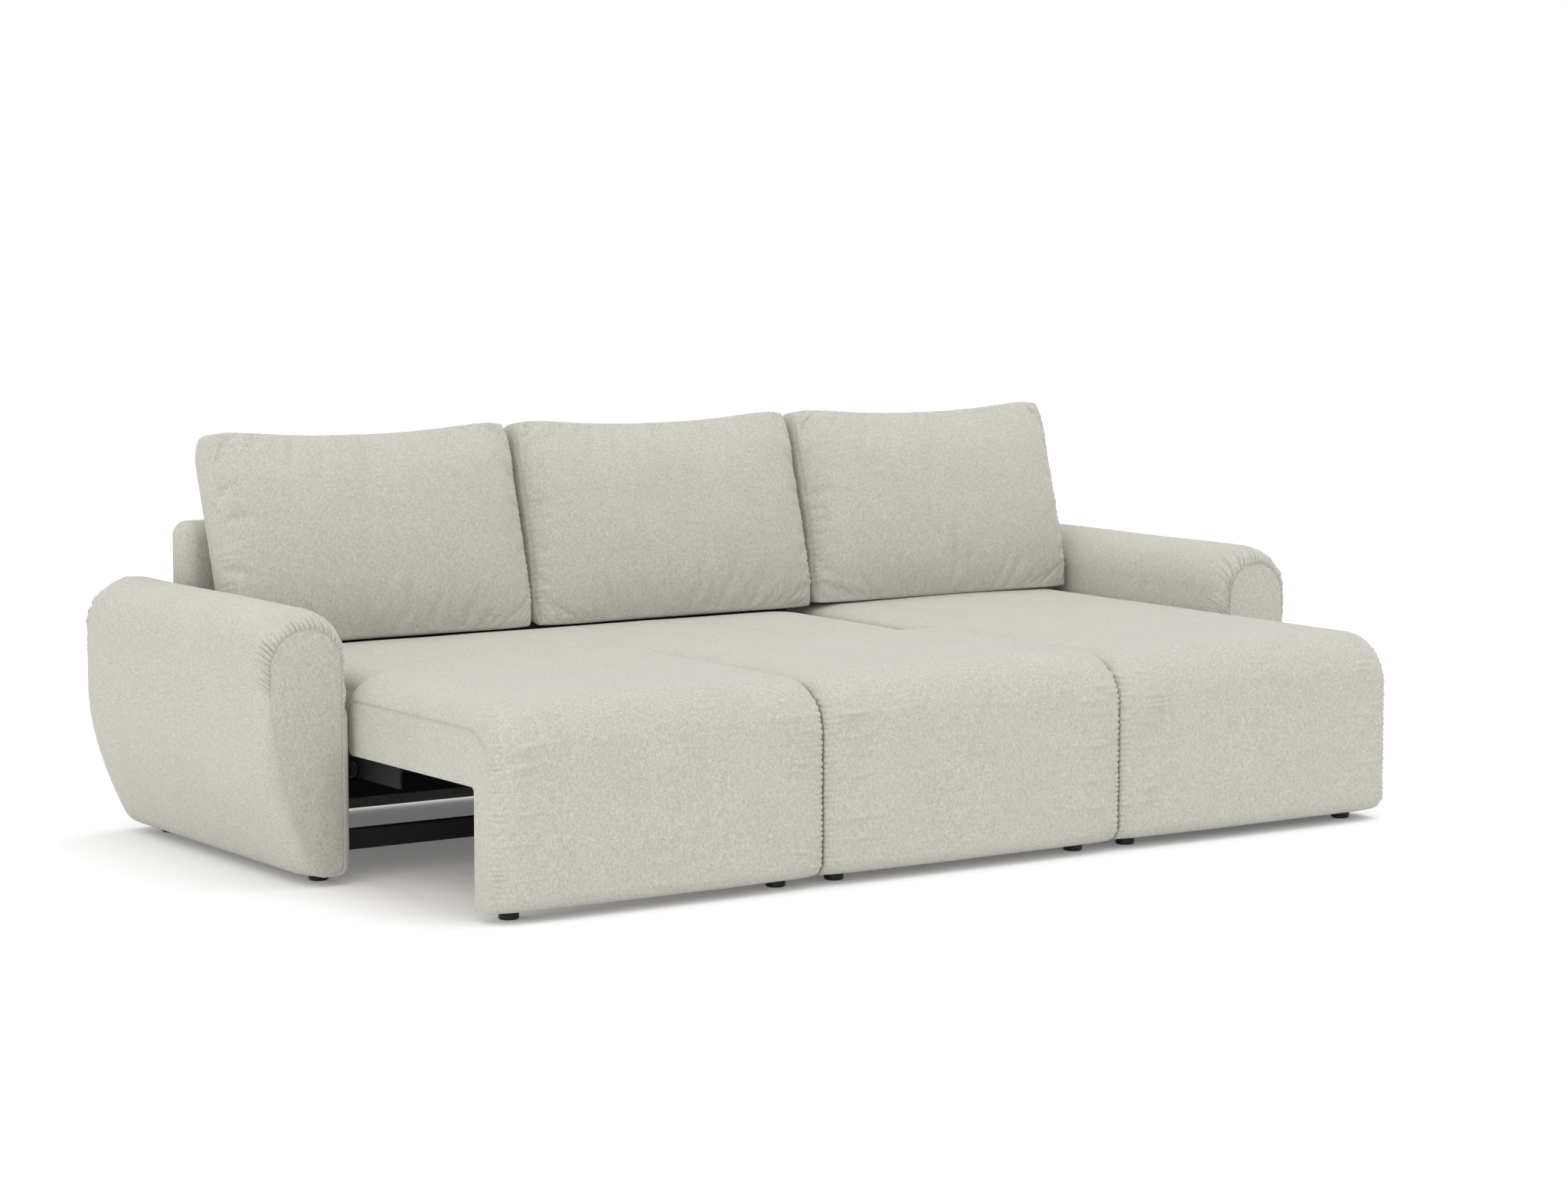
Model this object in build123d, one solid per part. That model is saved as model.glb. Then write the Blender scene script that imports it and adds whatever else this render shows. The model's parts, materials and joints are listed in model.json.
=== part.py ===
from build123d import *
import math
import os

os.makedirs("parts", exist_ok=True)

# Sofa bed with a chaise. X runs along the width, the front faces -Y, Z is up and the floor is Z = 0.
# It is drawn open: the two pull-out seats stand level with the chaise, and the pad behind them is raised.
# All sizes are in millimetres.

# Modules and heights
module_width = 800.0
module_gap = 6.0
arm_gap = 14.0
foot_height = 22.0
foot_diameter = 42.5
foot_inset = 75.0
board_thickness = 22.0
board_clearance = 0.3
cover_side = 27.0
cut_margin = 5.0

# Front and seat covers
front_y = -766.0
front_panel_thickness = 101.0
seat_depth = 630.0
seat_underside_z = 274.0
seat_top_z = 454.0
chaise_top_z = 447.0
waterfall_radius = 95.0
hem_radius = 35.0
rear_roll_radius = 45.0
edge_radius = 10.0
side_roll_width = 110.0
side_roll_drop = 26.0
side_roll_setback = 17.0
free_roll_drop = 52.0
free_roll_setback = 30.0
crown_rise = 7.0
front_swell = 5.0
roll_steps = 6
crown_steps = 4

# Raised pad behind the seats
pad_gap = 30.0
pad_depth = 606.0
pad_end_gap = 50.0
pad_underside_z = 318.0
pad_thickness = 122.0
pad_corner_radius = 55.0
pad_side_height = 84.0
pad_side_swell = 8.0
pad_crown_span = 60.0
pad_board_inset = 40.0

# Arms
arm_width = 204.0
arm_height = 585.0
arm_front_y = -154.0
arm_rear_y = 765.0
arm_taper = 0.5
arm_side_z = 200.0
arm_side_radius = 700.0
arm_inner_roll = 95.0
arm_outer_roll = 105.0
arm_hem_radius = 40.0
arm_end_roll = 90.0
arm_seam_top_drop = 34.0
arm_seam_side_draw = 17.0
arm_panel_inset = 48.0
arm_rail_inset = 8.0
arm_rail_width = 76.0
arm_rail_height = 40.0
arm_panel_top_drop = 100.0
arm_panel_end_inset = 70.0
arm_foot_inset = 30.0
arm_foot_end_inset = 88.0

# Back
back_front_y = 637.0
back_thickness = 98.0
back_top_z = 714.0
back_edge_radius = 20.0
back_frame_thickness = 45.0
back_frame_inset = 60.0
ledge_depth = 147.0
ledge_thickness = 16.0
ledge_end_gap = 60.0

# Back cushions
cushion_lean = 19.0
cushion_height = 470.0
cushion_tuck = 45.0
cushion_rest_gap = 0.3
cushion_gap = 6.0
cushion_corner_radius = 48.0
cushion_draw_in = 9.0
cushion_side_depth = 112.0
cushion_side_swell = 20.0
cushion_crown = 45.0
cushion_crown_span = 165.0

# Step-out mechanism
seat_travel = 570.0
swing_lean = 72.0
seat_bolt_y = -105.0
seat_bolt_z = 239.0
lever_pitch = 125.0
pad_arm_length = 108.0
pad_arm_lean = 10.0
tube_arm_length = 62.0
tube_arm_lean = 36.0
tube_diameter = 25.0
lever_width = 30.0
hub_width = 38.0
lever_thickness = 6.0
plate_thickness = 5.0
plate_front_y = -60.0
plate_rear_y = 610.0
plate_bottom_z = 40.0
plate_top_z = 185.0
plate_corner_radius = 18.0
rear_lever_gap = 2.0
lever_gap = 4.0
seat_bracket_gap = 6.0
pad_bracket_gap = 4.0
bracket_thickness = 5.0
pin_diameter = 16.0
bolt_diameter = 12.0
head_diameter = 22.0
head_thickness = 2.5
running_clearance = 0.05
seat_bracket_front_y = -302.0
seat_bracket_end = 20.0
seat_bracket_bottom_z = 220.0
seat_bracket_height = 43.0
seat_bracket_flange = 44.0
pad_tab_width = 30.0
pad_flange_width = 52.0
pad_flange_margin = 32.0
stretcher_depth = 30.0
stretcher_height = 42.0
stretcher_bottom_z = 56.0
stretcher_wall = 2.5
stretcher_rear_inset = 20.0
fixing_bolt_diameter = 10.0
fixing_bolt_z = 75.0
fixing_bolt_end_inset = 90.0
spacer_diameter = 24.0
joining_bolt_low_z = 150.0
joining_bolt_top_drop = 55.0
joining_plate_width = 240.0
joining_plate_depth = 90.0
joining_plate_thickness = 5.0
joining_plate_inset = 120.0
base_cloth_thickness = 2.0

# Places worked out from the sizes above
seats_centre_x = -module_width / 2
module_centres = [-module_width, 0.0, module_width]
cover_half = (module_width - module_gap) / 2
board_half = cover_half - cover_side
arm_inner_x = 1.5 * module_width + arm_gap
seat_rear_y = front_y + seat_depth
panel_rear_y = front_y + front_panel_thickness
board_front_y = panel_rear_y - board_thickness
foot_y = board_front_y + board_thickness / 2
back_rear_y = back_front_y + back_thickness
pad_front_y = seat_rear_y + pad_gap
pad_rear_y = pad_front_y + pad_depth
pad_half = module_width - pad_end_gap
ledge_top_z = chaise_top_z
lean = math.radians(swing_lean)
seat_arm_length = seat_travel / (2 * math.sin(lean))
pivot_y = seat_bolt_y + seat_arm_length * math.sin(lean)
pivot_z = seat_bolt_z - seat_arm_length * math.cos(lean)
pad_pin_y = pivot_y + pad_arm_length * math.sin(math.radians(pad_arm_lean))
pad_pin_z = pivot_z + pad_arm_length * math.cos(math.radians(pad_arm_lean))
tube_y = pivot_y + tube_arm_length * math.sin(math.radians(tube_arm_lean))
tube_z = pivot_z + tube_arm_length * math.cos(math.radians(tube_arm_lean))

# Layers of the mechanism, as distances inwards from the edge of the left seat
plate_layer = 0.0
rear_lever_layer = plate_layer + plate_thickness + rear_lever_gap
front_lever_layer = rear_lever_layer + lever_thickness + lever_gap
seat_bracket_layer = front_lever_layer + lever_thickness + seat_bracket_gap
pad_bracket_layer = seat_bracket_layer + bracket_thickness + pad_bracket_gap
left_edge_x = seats_centre_x - module_width


def block(low, high):
    """A box between two opposite corners."""
    size = [b - a for a, b in zip(low, high)]
    middle = [(a + b) / 2 for a, b in zip(low, high)]
    return Pos(*middle) * Box(*size)


def rod(x_from, x_to, y, z, diameter):
    """A round bar along X."""
    return Pos((x_from + x_to) / 2, y, z) * Rot(0, 90, 0) * Cylinder(diameter / 2, abs(x_to - x_from))


def save(name, *solids):
    """Write a node, which may be a group of separate solids."""
    node = solids[0] if len(solids) == 1 else Compound(children=list(solids))
    export_step(node, f"parts/{name}.step")


def across_seats(solid):
    """The same piece on the other side of the two seats."""
    return mirror(solid, Plane.YZ.offset(seats_centre_x))


def rounded_loop(corners, radii, bows, place):
    """A closed wire with rounded corners, anticlockwise, whose sides bow outwards."""
    count = len(corners)
    spots = [Vector(a, b) for a, b in corners]
    starts, middles, ends = [], [], []
    for i, radius in enumerate(radii):
        back = (spots[i - 1] - spots[i]).normalized()
        ahead = (spots[(i + 1) % count] - spots[i]).normalized()
        half = math.radians(back.get_angle(ahead)) / 2
        reach = radius / math.tan(half)
        inward = (back + ahead).normalized()
        starts.append(spots[i] + back * reach)
        middles.append(spots[i] + inward * (radius / math.sin(half) - radius))
        ends.append(spots[i] + ahead * reach)
    edges = []
    for i, bow in enumerate(bows):
        corner = [place(p.X, p.Y) for p in (starts[i], middles[i], ends[i])]
        edges.append(Edge.make_three_point_arc(*corner))
        first, last = ends[i], starts[(i + 1) % count]
        along = (last - first).normalized()
        middle = (first + last) / 2 + Vector(along.Y, -along.X) * bow
        if bow:
            side = [place(p.X, p.Y) for p in (first, middle, last)]
            edges.append(Edge.make_three_point_arc(*side))
        else:
            edges.append(Edge.make_line(place(first.X, first.Y), place(last.X, last.Y)))
    return Wire(edges)


def at_x(x):
    """Places outline points (y, z) on an upright plane across X."""
    return lambda y, z: Vector(x, y, z)


def quarter(steps):
    """Points on a quarter circle: how far it has gone, and how far it has risen."""
    turns = [math.pi / 2 * step / steps for step in range(steps + 1)]
    return [(1 - math.cos(turn), math.sin(turn)) for turn in turns]


def swollen_side(depth, swell, crown, span):
    """Distance through a padded piece and draw-in of its outline: a bowed side, then a rounded crown."""
    shares = [step / crown_steps for step in range(crown_steps)]
    side = [(share * depth, swell * (2 * share - 1) ** 2) for share in shares]
    return side + [(depth + rise * crown, swell + run * span) for run, rise in quarter(roll_steps)]


def side_rows(half, roll_drop, roll_setback):
    """From one side of a cover to its middle: distance in, fall of its top and set-back of its front."""
    near = [(run * side_roll_width, 1 - rise) for run, rise in quarter(roll_steps)]
    rest = half - side_roll_width
    near += [(side_roll_width + rest * step / crown_steps, 0.0) for step in range(1, crown_steps + 1)]
    rows = []
    for distance, roll in near:
        slack = (1 - distance / half) ** 2
        rows.append((distance, roll * roll_drop + slack * crown_rise, roll * roll_setback + slack * front_swell))
    return rows


def stations(half, left_drop, left_setback):
    """Offsets from the left of a cover to its right, with the fall of its top and set-back of its front."""
    left = [(distance - half, drop, back) for distance, drop, back in side_rows(half, left_drop, left_setback)]
    right = side_rows(half, side_roll_drop, side_roll_setback)[:-1]
    return left + [(half - distance, drop, back) for distance, drop, back in reversed(right)]


def seat_cover(centre_x, left_drop, left_setback):
    """Crowned waterfall cover: a seat cushion whose front rolls down to the hem of its front panel."""
    loops = []
    for offset, drop, back in stations(cover_half, left_drop, left_setback):
        corners = [
            (seat_rear_y, seat_underside_z),
            (seat_rear_y, seat_top_z - drop),
            (front_y + back, seat_top_z - drop),
            (front_y + back, foot_height),
            (panel_rear_y, foot_height),
            (panel_rear_y, seat_underside_z),
        ]
        radii = [edge_radius, rear_roll_radius, waterfall_radius, hem_radius, edge_radius, edge_radius]
        loops.append(rounded_loop(corners, radii, [0.0] * 6, at_x(centre_x + offset)))
    return Solid.make_loft(loops, ruled=True)


def chaise_cover_form(centre_x):
    """Crowned waterfall cover over the full depth of the chaise."""
    loops = []
    for offset, drop, back in stations(cover_half, side_roll_drop, side_roll_setback):
        corners = [
            (back_front_y, foot_height),
            (back_front_y, chaise_top_z - drop),
            (front_y + back, chaise_top_z - drop),
            (front_y + back, foot_height),
        ]
        radii = [edge_radius, edge_radius, waterfall_radius, hem_radius]
        loops.append(rounded_loop(corners, radii, [0.0] * 4, at_x(centre_x + offset)))
    return Solid.make_loft(loops, ruled=True)


def foot(x, y):
    """A short round foot that stands on the floor."""
    return Pos(x, y, foot_height / 2) * Cylinder(foot_diameter / 2, foot_height)


def seat_pocket(centre_x):
    """The room in a seat cover for its front board and its deck, open behind and below."""
    low_x, high_x = centre_x - board_half, centre_x + board_half
    front = block((low_x, board_front_y, foot_height - cut_margin),
                  (high_x, panel_rear_y + cut_margin, seat_underside_z))
    deck = block((low_x, board_front_y, seat_underside_z - cut_margin), (high_x, deck_rear_y, deck_top_z))
    return front + deck


# Pull-out seats: cover, front board and deck for each, then the plates that join the two.
# The left side of the left seat is free and rounder than the sides that meet.
deck_top_z = seat_underside_z + board_thickness
deck_rear_y = seat_rear_y - edge_radius - board_clearance
deck_half = board_half - board_clearance
left_rolls = ((free_roll_drop, free_roll_setback), (side_roll_drop, side_roll_setback))
for side, centre_x, left_roll in zip(("left", "right"), module_centres, left_rolls):
    low_x, high_x = centre_x - deck_half, centre_x + deck_half
    save(f"seat_cover_{side}", seat_cover(centre_x, *left_roll) - seat_pocket(centre_x))
    save(f"seat_front_board_{side}", block((low_x, board_front_y + board_clearance, foot_height),
                                           (high_x, panel_rear_y, deck_top_z - board_clearance)))
    save(f"seat_deck_{side}", block((low_x, panel_rear_y, seat_underside_z),
                                    (high_x, deck_rear_y - board_clearance, deck_top_z - board_clearance)))

foot_xs = [centre + sign * (module_width / 2 - foot_inset) for centre in module_centres for sign in (-1, 1)]
save("seat_feet", *[foot(x, foot_y) for x in foot_xs[:4]])

joining_plate_ys = (panel_rear_y + joining_plate_inset, seat_rear_y - joining_plate_inset)
save("seat_joining_plates", *[
    block((seats_centre_x - joining_plate_width / 2, y - joining_plate_depth / 2,
           seat_underside_z - joining_plate_thickness),
          (seats_centre_x + joining_plate_width / 2, y + joining_plate_depth / 2, seat_underside_z))
    for y in joining_plate_ys])


# Seat brackets: angles under the seats that reach back to the two seat bolts on each side
def seat_bracket():
    """Left bracket, with its bolt holes."""
    x = left_edge_x + seat_bracket_layer
    end_y = seat_bolt_y + lever_pitch + seat_bracket_end
    bar_top_z = seat_bracket_bottom_z + seat_bracket_height
    reach = block((x, seat_bracket_front_y, seat_bracket_bottom_z), (x + bracket_thickness, end_y, bar_top_z))
    web = block((x, seat_bracket_front_y, seat_bracket_bottom_z),
                (x + bracket_thickness, deck_rear_y, seat_underside_z))
    flange = block((x, seat_bracket_front_y, seat_underside_z - bracket_thickness),
                   (x + seat_bracket_flange, deck_rear_y, seat_underside_z))
    solid = reach + web + flange
    for y in (seat_bolt_y, seat_bolt_y + lever_pitch):
        solid -= rod(x - 1, x + bracket_thickness + 1, y, seat_bolt_z, bolt_diameter + 2 * running_clearance)
    return solid


def headed_pin(x_head, x_end, y, z, diameter):
    """A pin along X with a flat head at its inner end."""
    head = rod(x_head, x_head + head_thickness, y, z, head_diameter)
    return rod(x_end, x_head, y, z, diameter) + head


def seat_bolts():
    """Left seat bolts: the front one ends past the front lever, the rear one past the rear lever."""
    head = left_edge_x + seat_bracket_layer + bracket_thickness
    front_end = left_edge_x + front_lever_layer - running_clearance
    rear_end = left_edge_x + rear_lever_layer - running_clearance
    nut = rod(front_end - head_thickness, front_end, seat_bolt_y, seat_bolt_z, head_diameter)
    front = headed_pin(head, front_end, seat_bolt_y, seat_bolt_z, bolt_diameter) + nut
    return [front, headed_pin(head, rear_end, seat_bolt_y + lever_pitch, seat_bolt_z, bolt_diameter)]


save("seat_bracket_left", seat_bracket())
save("seat_bracket_right", across_seats(seat_bracket()))
save("seat_bolts", *seat_bolts(), *[across_seats(bolt) for bolt in seat_bolts()])

# Raised pad: crowned cover over a board, with a hanging bracket at each end


def pad_loop(height, draw):
    """The pad's outline at one height, drawn in from its ends and sides."""
    z = pad_underside_z + height
    corners = [
        (seats_centre_x - pad_half + draw, pad_front_y + draw),
        (seats_centre_x + pad_half - draw, pad_front_y + draw),
        (seats_centre_x + pad_half - draw, pad_rear_y - draw),
        (seats_centre_x - pad_half + draw, pad_rear_y - draw),
    ]
    return rounded_loop(corners, [pad_corner_radius] * 4, [0.0] * 4, lambda x, y: Vector(x, y, z))


def pad_board(clearance, below):
    """The board under the pad, or the pocket that it fits when the clearance is nought."""
    inset = pad_board_inset + clearance
    return block((seats_centre_x - pad_half + inset, pad_front_y + inset, pad_underside_z - below),
                 (seats_centre_x + pad_half - inset, pad_rear_y - inset,
                  pad_underside_z + board_thickness - clearance))


pad_rows = swollen_side(pad_side_height, pad_side_swell, pad_thickness - pad_side_height, pad_crown_span)
pad_cover = Solid.make_loft([pad_loop(*row) for row in pad_rows], ruled=True)
save("rear_pad_cover", pad_cover - pad_board(0.0, cut_margin))
save("rear_pad_board", pad_board(board_clearance, 0.0))


def pad_bracket():
    """Left pad bracket: a flange under the pad with two tabs that hang down to the pad pins."""
    x = left_edge_x + pad_bracket_layer
    flange = block((x, pad_pin_y - pad_flange_margin, pad_underside_z - bracket_thickness),
                   (x + pad_bracket_gap + bracket_thickness + pad_flange_width + pad_board_inset,
                    pad_pin_y + lever_pitch + pad_flange_margin, pad_underside_z))
    solid = flange
    for y in (pad_pin_y, pad_pin_y + lever_pitch):
        tab = block((x, y - pad_tab_width / 2, pad_pin_z),
                    (x + bracket_thickness, y + pad_tab_width / 2, pad_underside_z))
        solid += tab + rod(x, x + bracket_thickness, y, pad_pin_z, pad_tab_width)
        solid -= rod(x - 1, x + bracket_thickness + 1, y, pad_pin_z, bolt_diameter + 2 * running_clearance)
    return solid


def pad_pins():
    """Left pad pins: the front one ends in the front lever, the rear one in the rear lever."""
    head = left_edge_x + pad_bracket_layer + bracket_thickness
    ends = (left_edge_x + front_lever_layer, left_edge_x + rear_lever_layer)
    spots = (pad_pin_y, pad_pin_y + lever_pitch)
    return [headed_pin(head, end, y, pad_pin_z, bolt_diameter) for end, y in zip(ends, spots)]


save("pad_bracket_left", pad_bracket())
save("pad_bracket_right", across_seats(pad_bracket()))
save("pad_pins", *pad_pins(), *[across_seats(pin) for pin in pad_pins()])


# Levers: three-armed cranks on fixed pivots, one pair in front and one behind, each pair joined by a tube
def bar(start, end, width):
    """The outline of a flat bar with round ends between two points (y, z)."""
    run = Vector(end[0] - start[0], end[1] - start[1])
    turn = math.degrees(math.atan2(run.Y, run.X))
    middle = Pos((start[0] + end[0]) / 2, (start[1] + end[1]) / 2)
    return middle * Rot(0, 0, turn) * SlotCenterToCenter(run.length, width)


def lever(x, shift):
    """Left lever in its layer, moved back by the pitch for the rear pair."""
    pivot = (pivot_y + shift, pivot_z)
    seat_end = (seat_bolt_y + shift, seat_bolt_z)
    pad_end = (pad_pin_y + shift, pad_pin_z)
    tube_end = (tube_y + shift, tube_z)
    outline = bar(pivot, tube_end, hub_width) + bar(pivot, seat_end, lever_width) + bar(pivot, pad_end, lever_width)
    for spot, diameter in ((pivot, pin_diameter), (seat_end, bolt_diameter), (pad_end, bolt_diameter)):
        outline -= Pos(*spot) * Circle(diameter / 2 + running_clearance)
    side = Plane(origin=(x, 0, 0), x_dir=(0, 1, 0), z_dir=(1, 0, 0))
    return extrude(side * outline, lever_thickness)


for row, layer, shift in (("front", front_lever_layer, 0.0), ("rear", rear_lever_layer, lever_pitch)):
    left_lever = lever(left_edge_x + layer, shift)
    inner_x = left_edge_x + layer + lever_thickness
    far_x = 2 * seats_centre_x - inner_x
    save(f"{row}_lever_left", left_lever)
    save(f"{row}_lever_right", across_seats(left_lever))
    save(f"{row}_lever_tube", rod(inner_x, far_x, tube_y + shift, tube_z, tube_diameter))


# Side plates, their fixed pivot pins, spacers, bolts and the two stretchers between them
fixing_ys = (plate_front_y + fixing_bolt_end_inset, plate_rear_y - fixing_bolt_end_inset)
pivot_spots = ((pivot_y, front_lever_layer), (pivot_y + lever_pitch, rear_lever_layer))


def side_plate():
    """Left side plate with its pivot and fixing holes."""
    middle = ((plate_front_y + plate_rear_y) / 2, (plate_bottom_z + plate_top_z) / 2)
    face = Plane(origin=(left_edge_x, *middle), x_dir=(0, 1, 0), z_dir=(1, 0, 0))
    outline = RectangleRounded(plate_rear_y - plate_front_y, plate_top_z - plate_bottom_z, plate_corner_radius)
    solid = extrude(face * outline, plate_thickness)
    reach = (left_edge_x - 1, left_edge_x + plate_thickness + 1)
    for y, layer in pivot_spots:
        solid -= rod(*reach, y, pivot_z, pin_diameter + 2 * running_clearance)
    for y in fixing_ys:
        solid -= rod(*reach, y, fixing_bolt_z, fixing_bolt_diameter + 2 * running_clearance)
    return solid


def pivot_pins():
    """Left pivot pins, held in the plate and headed on the far side of their levers."""
    heads = [left_edge_x + layer + lever_thickness + running_clearance for y, layer in pivot_spots]
    return [headed_pin(head, left_edge_x, y, pivot_z, pin_diameter)
            for head, (y, layer) in zip(heads, pivot_spots)]


save("side_plate_left", side_plate())
save("side_plate_right", across_seats(side_plate()))
save("pivot_pins", *pivot_pins(), *[across_seats(pin) for pin in pivot_pins()])

right_edge_x = seats_centre_x + module_width
arm_face_gap = arm_gap
chaise_face_gap = module_gap / 2
left_bolt_end_x = -arm_inner_x - arm_panel_inset
right_bolt_end_x = module_centres[2] - board_half + board_clearance


def spacer(x_from, x_to, y):
    """A short tube round a fixing bolt, between a side plate and what it is bolted to."""
    hole = rod(x_from - 1, x_to + 1, y, fixing_bolt_z, fixing_bolt_diameter + 2 * running_clearance)
    return rod(x_from, x_to, y, fixing_bolt_z, spacer_diameter) - hole


left_spacers = [spacer(left_edge_x - arm_face_gap, left_edge_x, y) for y in fixing_ys]
right_spacers = [spacer(right_edge_x, right_edge_x + chaise_face_gap, y) for y in fixing_ys]
save("plate_spacers", *left_spacers, *right_spacers)

left_head_x = left_edge_x + plate_thickness
right_head_x = right_edge_x - plate_thickness
plate_bolts = []
for y in fixing_ys:
    left_shank = rod(left_bolt_end_x, left_head_x, y, fixing_bolt_z, fixing_bolt_diameter)
    right_shank = rod(right_head_x, right_bolt_end_x, y, fixing_bolt_z, fixing_bolt_diameter)
    left_head = rod(left_head_x, left_head_x + head_thickness, y, fixing_bolt_z, head_diameter)
    right_head = rod(right_head_x - head_thickness, right_head_x, y, fixing_bolt_z, head_diameter)
    plate_bolts += [left_shank + left_head, right_shank + right_head]
save("plate_bolts", *plate_bolts)


def stretcher(y_from):
    """A steel tube between the two side plates."""
    low = (left_edge_x + plate_thickness, y_from, stretcher_bottom_z)
    high = (right_edge_x - plate_thickness, y_from + stretcher_depth, stretcher_bottom_z + stretcher_height)
    wall = stretcher_wall
    hollow = block((low[0] - 1, low[1] + wall, low[2] + wall), (high[0] + 1, high[1] - wall, high[2] - wall))
    return block(low, high) - hollow


save("front_stretcher", stretcher(plate_front_y))
save("rear_stretcher", stretcher(plate_rear_y - stretcher_rear_inset - stretcher_depth))


# Chaise: cover over a box of boards, closed below by a cloth
def chaise_pocket():
    """The space inside the chaise cover that its boards fill."""
    x = module_centres[2]
    rear = back_front_y - cover_side
    return block((x - board_half, board_front_y, foot_height - cut_margin), (x + board_half, rear, deck_top_z))


def chaise_boards():
    """Front board, rear board, two side boards and the deck."""
    x = module_centres[2]
    half = board_half - board_clearance
    front = board_front_y + board_clearance
    rear = back_front_y - cover_side - board_clearance
    front_board = block((x - half, front, foot_height), (x + half, front + board_thickness, seat_underside_z))
    rear_board = block((x - half, rear - board_thickness, foot_height), (x + half, rear, seat_underside_z))
    sides = [block((min(edge, inner), front + board_thickness, foot_height),
                   (max(edge, inner), rear - board_thickness, seat_underside_z))
             for edge, inner in ((x - half, x - half + board_thickness), (x + half, x + half - board_thickness))]
    deck = block((x - half, front, seat_underside_z), (x + half, rear, deck_top_z - board_clearance))
    return front_board, rear_board, sides, deck


chaise_rear_foot_y = back_front_y - cover_side - board_thickness / 2
chaise_feet = [foot(x, y) for x in foot_xs[4:] for y in (foot_y, chaise_rear_foot_y)]
front_board, rear_board, side_boards, chaise_deck = chaise_boards()
bolt_holes = [rod(right_edge_x, right_bolt_end_x, y, fixing_bolt_z, fixing_bolt_diameter + 2 * running_clearance)
              for y in fixing_ys]
chaise_cover = chaise_cover_form(module_centres[2]) - chaise_pocket()
for hole in bolt_holes:
    chaise_cover -= hole
save("chaise_cover", chaise_cover)
save("chaise_front_board", front_board)
save("chaise_rear_board", rear_board)
save("chaise_side_boards", *side_boards)
save("chaise_deck", chaise_deck)
save("chaise_feet", *chaise_feet)

base_cloth = block((module_centres[2] - board_half, board_front_y, foot_height - base_cloth_thickness),
                   (module_centres[2] + board_half, back_front_y - cover_side, foot_height))
for x in foot_xs[4:]:
    for y in (foot_y, chaise_rear_foot_y):
        base_cloth -= Pos(x, y, foot_height / 2) * Cylinder(foot_diameter / 2 + board_clearance, foot_height + 2)
save("chaise_base_cloth", base_cloth)


# Arms: a cover drawn in to a seam round each end panel, over a board on a foot rail
def arm_loop(y, draw):
    """The arm's outline across Y, drawn in towards the seam of its end panel."""
    inner = draw * arm_seam_side_draw
    outer = arm_width - inner
    top = arm_height - draw * arm_seam_top_drop
    outer_bottom = outer - arm_taper * (arm_side_z - foot_height)
    corners = [(inner, foot_height), (outer_bottom, foot_height), (outer, arm_side_z), (outer, top), (inner, top)]
    radii = [edge_radius, arm_hem_radius, arm_side_radius, arm_outer_roll - inner, arm_inner_roll - inner]
    return rounded_loop(corners, radii, [0.0] * 5, lambda u, z: Vector(arm_inner_x + u, y, z))


def arm_frame(clearance, below):
    """The right arm's upright board on its foot rail, or its pocket when the clearance is nought."""
    bottom = foot_height - below
    front = arm_front_y + arm_panel_end_inset + clearance
    rear = arm_rear_y - arm_panel_end_inset - clearance
    board_x = arm_inner_x + arm_panel_inset + clearance
    rail_x = arm_inner_x + arm_rail_inset + clearance
    top = arm_height - arm_panel_top_drop - clearance
    board = block((board_x, front, bottom), (board_x + board_thickness - 2 * clearance, rear, top))
    rail = block((rail_x, front, bottom),
                 (rail_x + arm_rail_width - 2 * clearance, rear, foot_height + arm_rail_height - clearance))
    return board + rail


joining_zs = (joining_bolt_low_z, arm_height - arm_panel_top_drop - joining_bolt_top_drop)
joining_y = back_front_y + back_thickness / 2
joining_end_x = arm_inner_x - 2 * back_frame_inset
joining_head_x = arm_inner_x + arm_panel_inset + board_thickness


def joining_rod(z, extra):
    """A bolt from the right arm's board into the end of the back frame."""
    diameter = fixing_bolt_diameter + 2 * extra
    return rod(joining_end_x - extra, joining_head_x, joining_y, z, diameter)


arm_rolls = [(run * arm_end_roll, 1 - rise) for run, rise in quarter(roll_steps)]
arm_loops = [arm_loop(arm_front_y + distance, draw) for distance, draw in arm_rolls]
arm_loops += [arm_loop(arm_rear_y - distance, draw) for distance, draw in reversed(arm_rolls)]
arm_cover = Solid.make_loft(arm_loops, ruled=True) - arm_frame(0.0, cut_margin)
arm_board = arm_frame(board_clearance, 0.0)
joining_bolts = []
for z in joining_zs:
    arm_cover -= joining_rod(z, running_clearance)
    arm_board -= joining_rod(z, running_clearance)
    joining_bolts.append(joining_rod(z, 0.0))
left_arm_cover = mirror(arm_cover, Plane.YZ)
for y in fixing_ys:
    left_arm_cover -= rod(left_bolt_end_x, left_edge_x, y, fixing_bolt_z,
                          fixing_bolt_diameter + 2 * running_clearance)
save("arm_cover_left", left_arm_cover)
save("arm_cover_right", arm_cover)
save("arm_frame_left", mirror(arm_board, Plane.YZ))
save("arm_frame_right", arm_board)
save("joining_bolts", *joining_bolts, *[mirror(bolt, Plane.YZ) for bolt in joining_bolts])
arm_foot_x = arm_inner_x + arm_foot_inset
arm_foot_ys = (arm_front_y + arm_foot_end_inset, arm_rear_y - arm_foot_end_inset)
save("arm_feet", *[foot(sign * arm_foot_x, y) for sign in (-1, 1) for y in arm_foot_ys])

# Back: cover over a frame, and the ledge that carries the cushions behind the pull-out seats
back_cover = block((-arm_inner_x, back_front_y, foot_height), (arm_inner_x, back_rear_y, back_top_z))
back_cover = fillet(back_cover.edges(), back_edge_radius)


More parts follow.
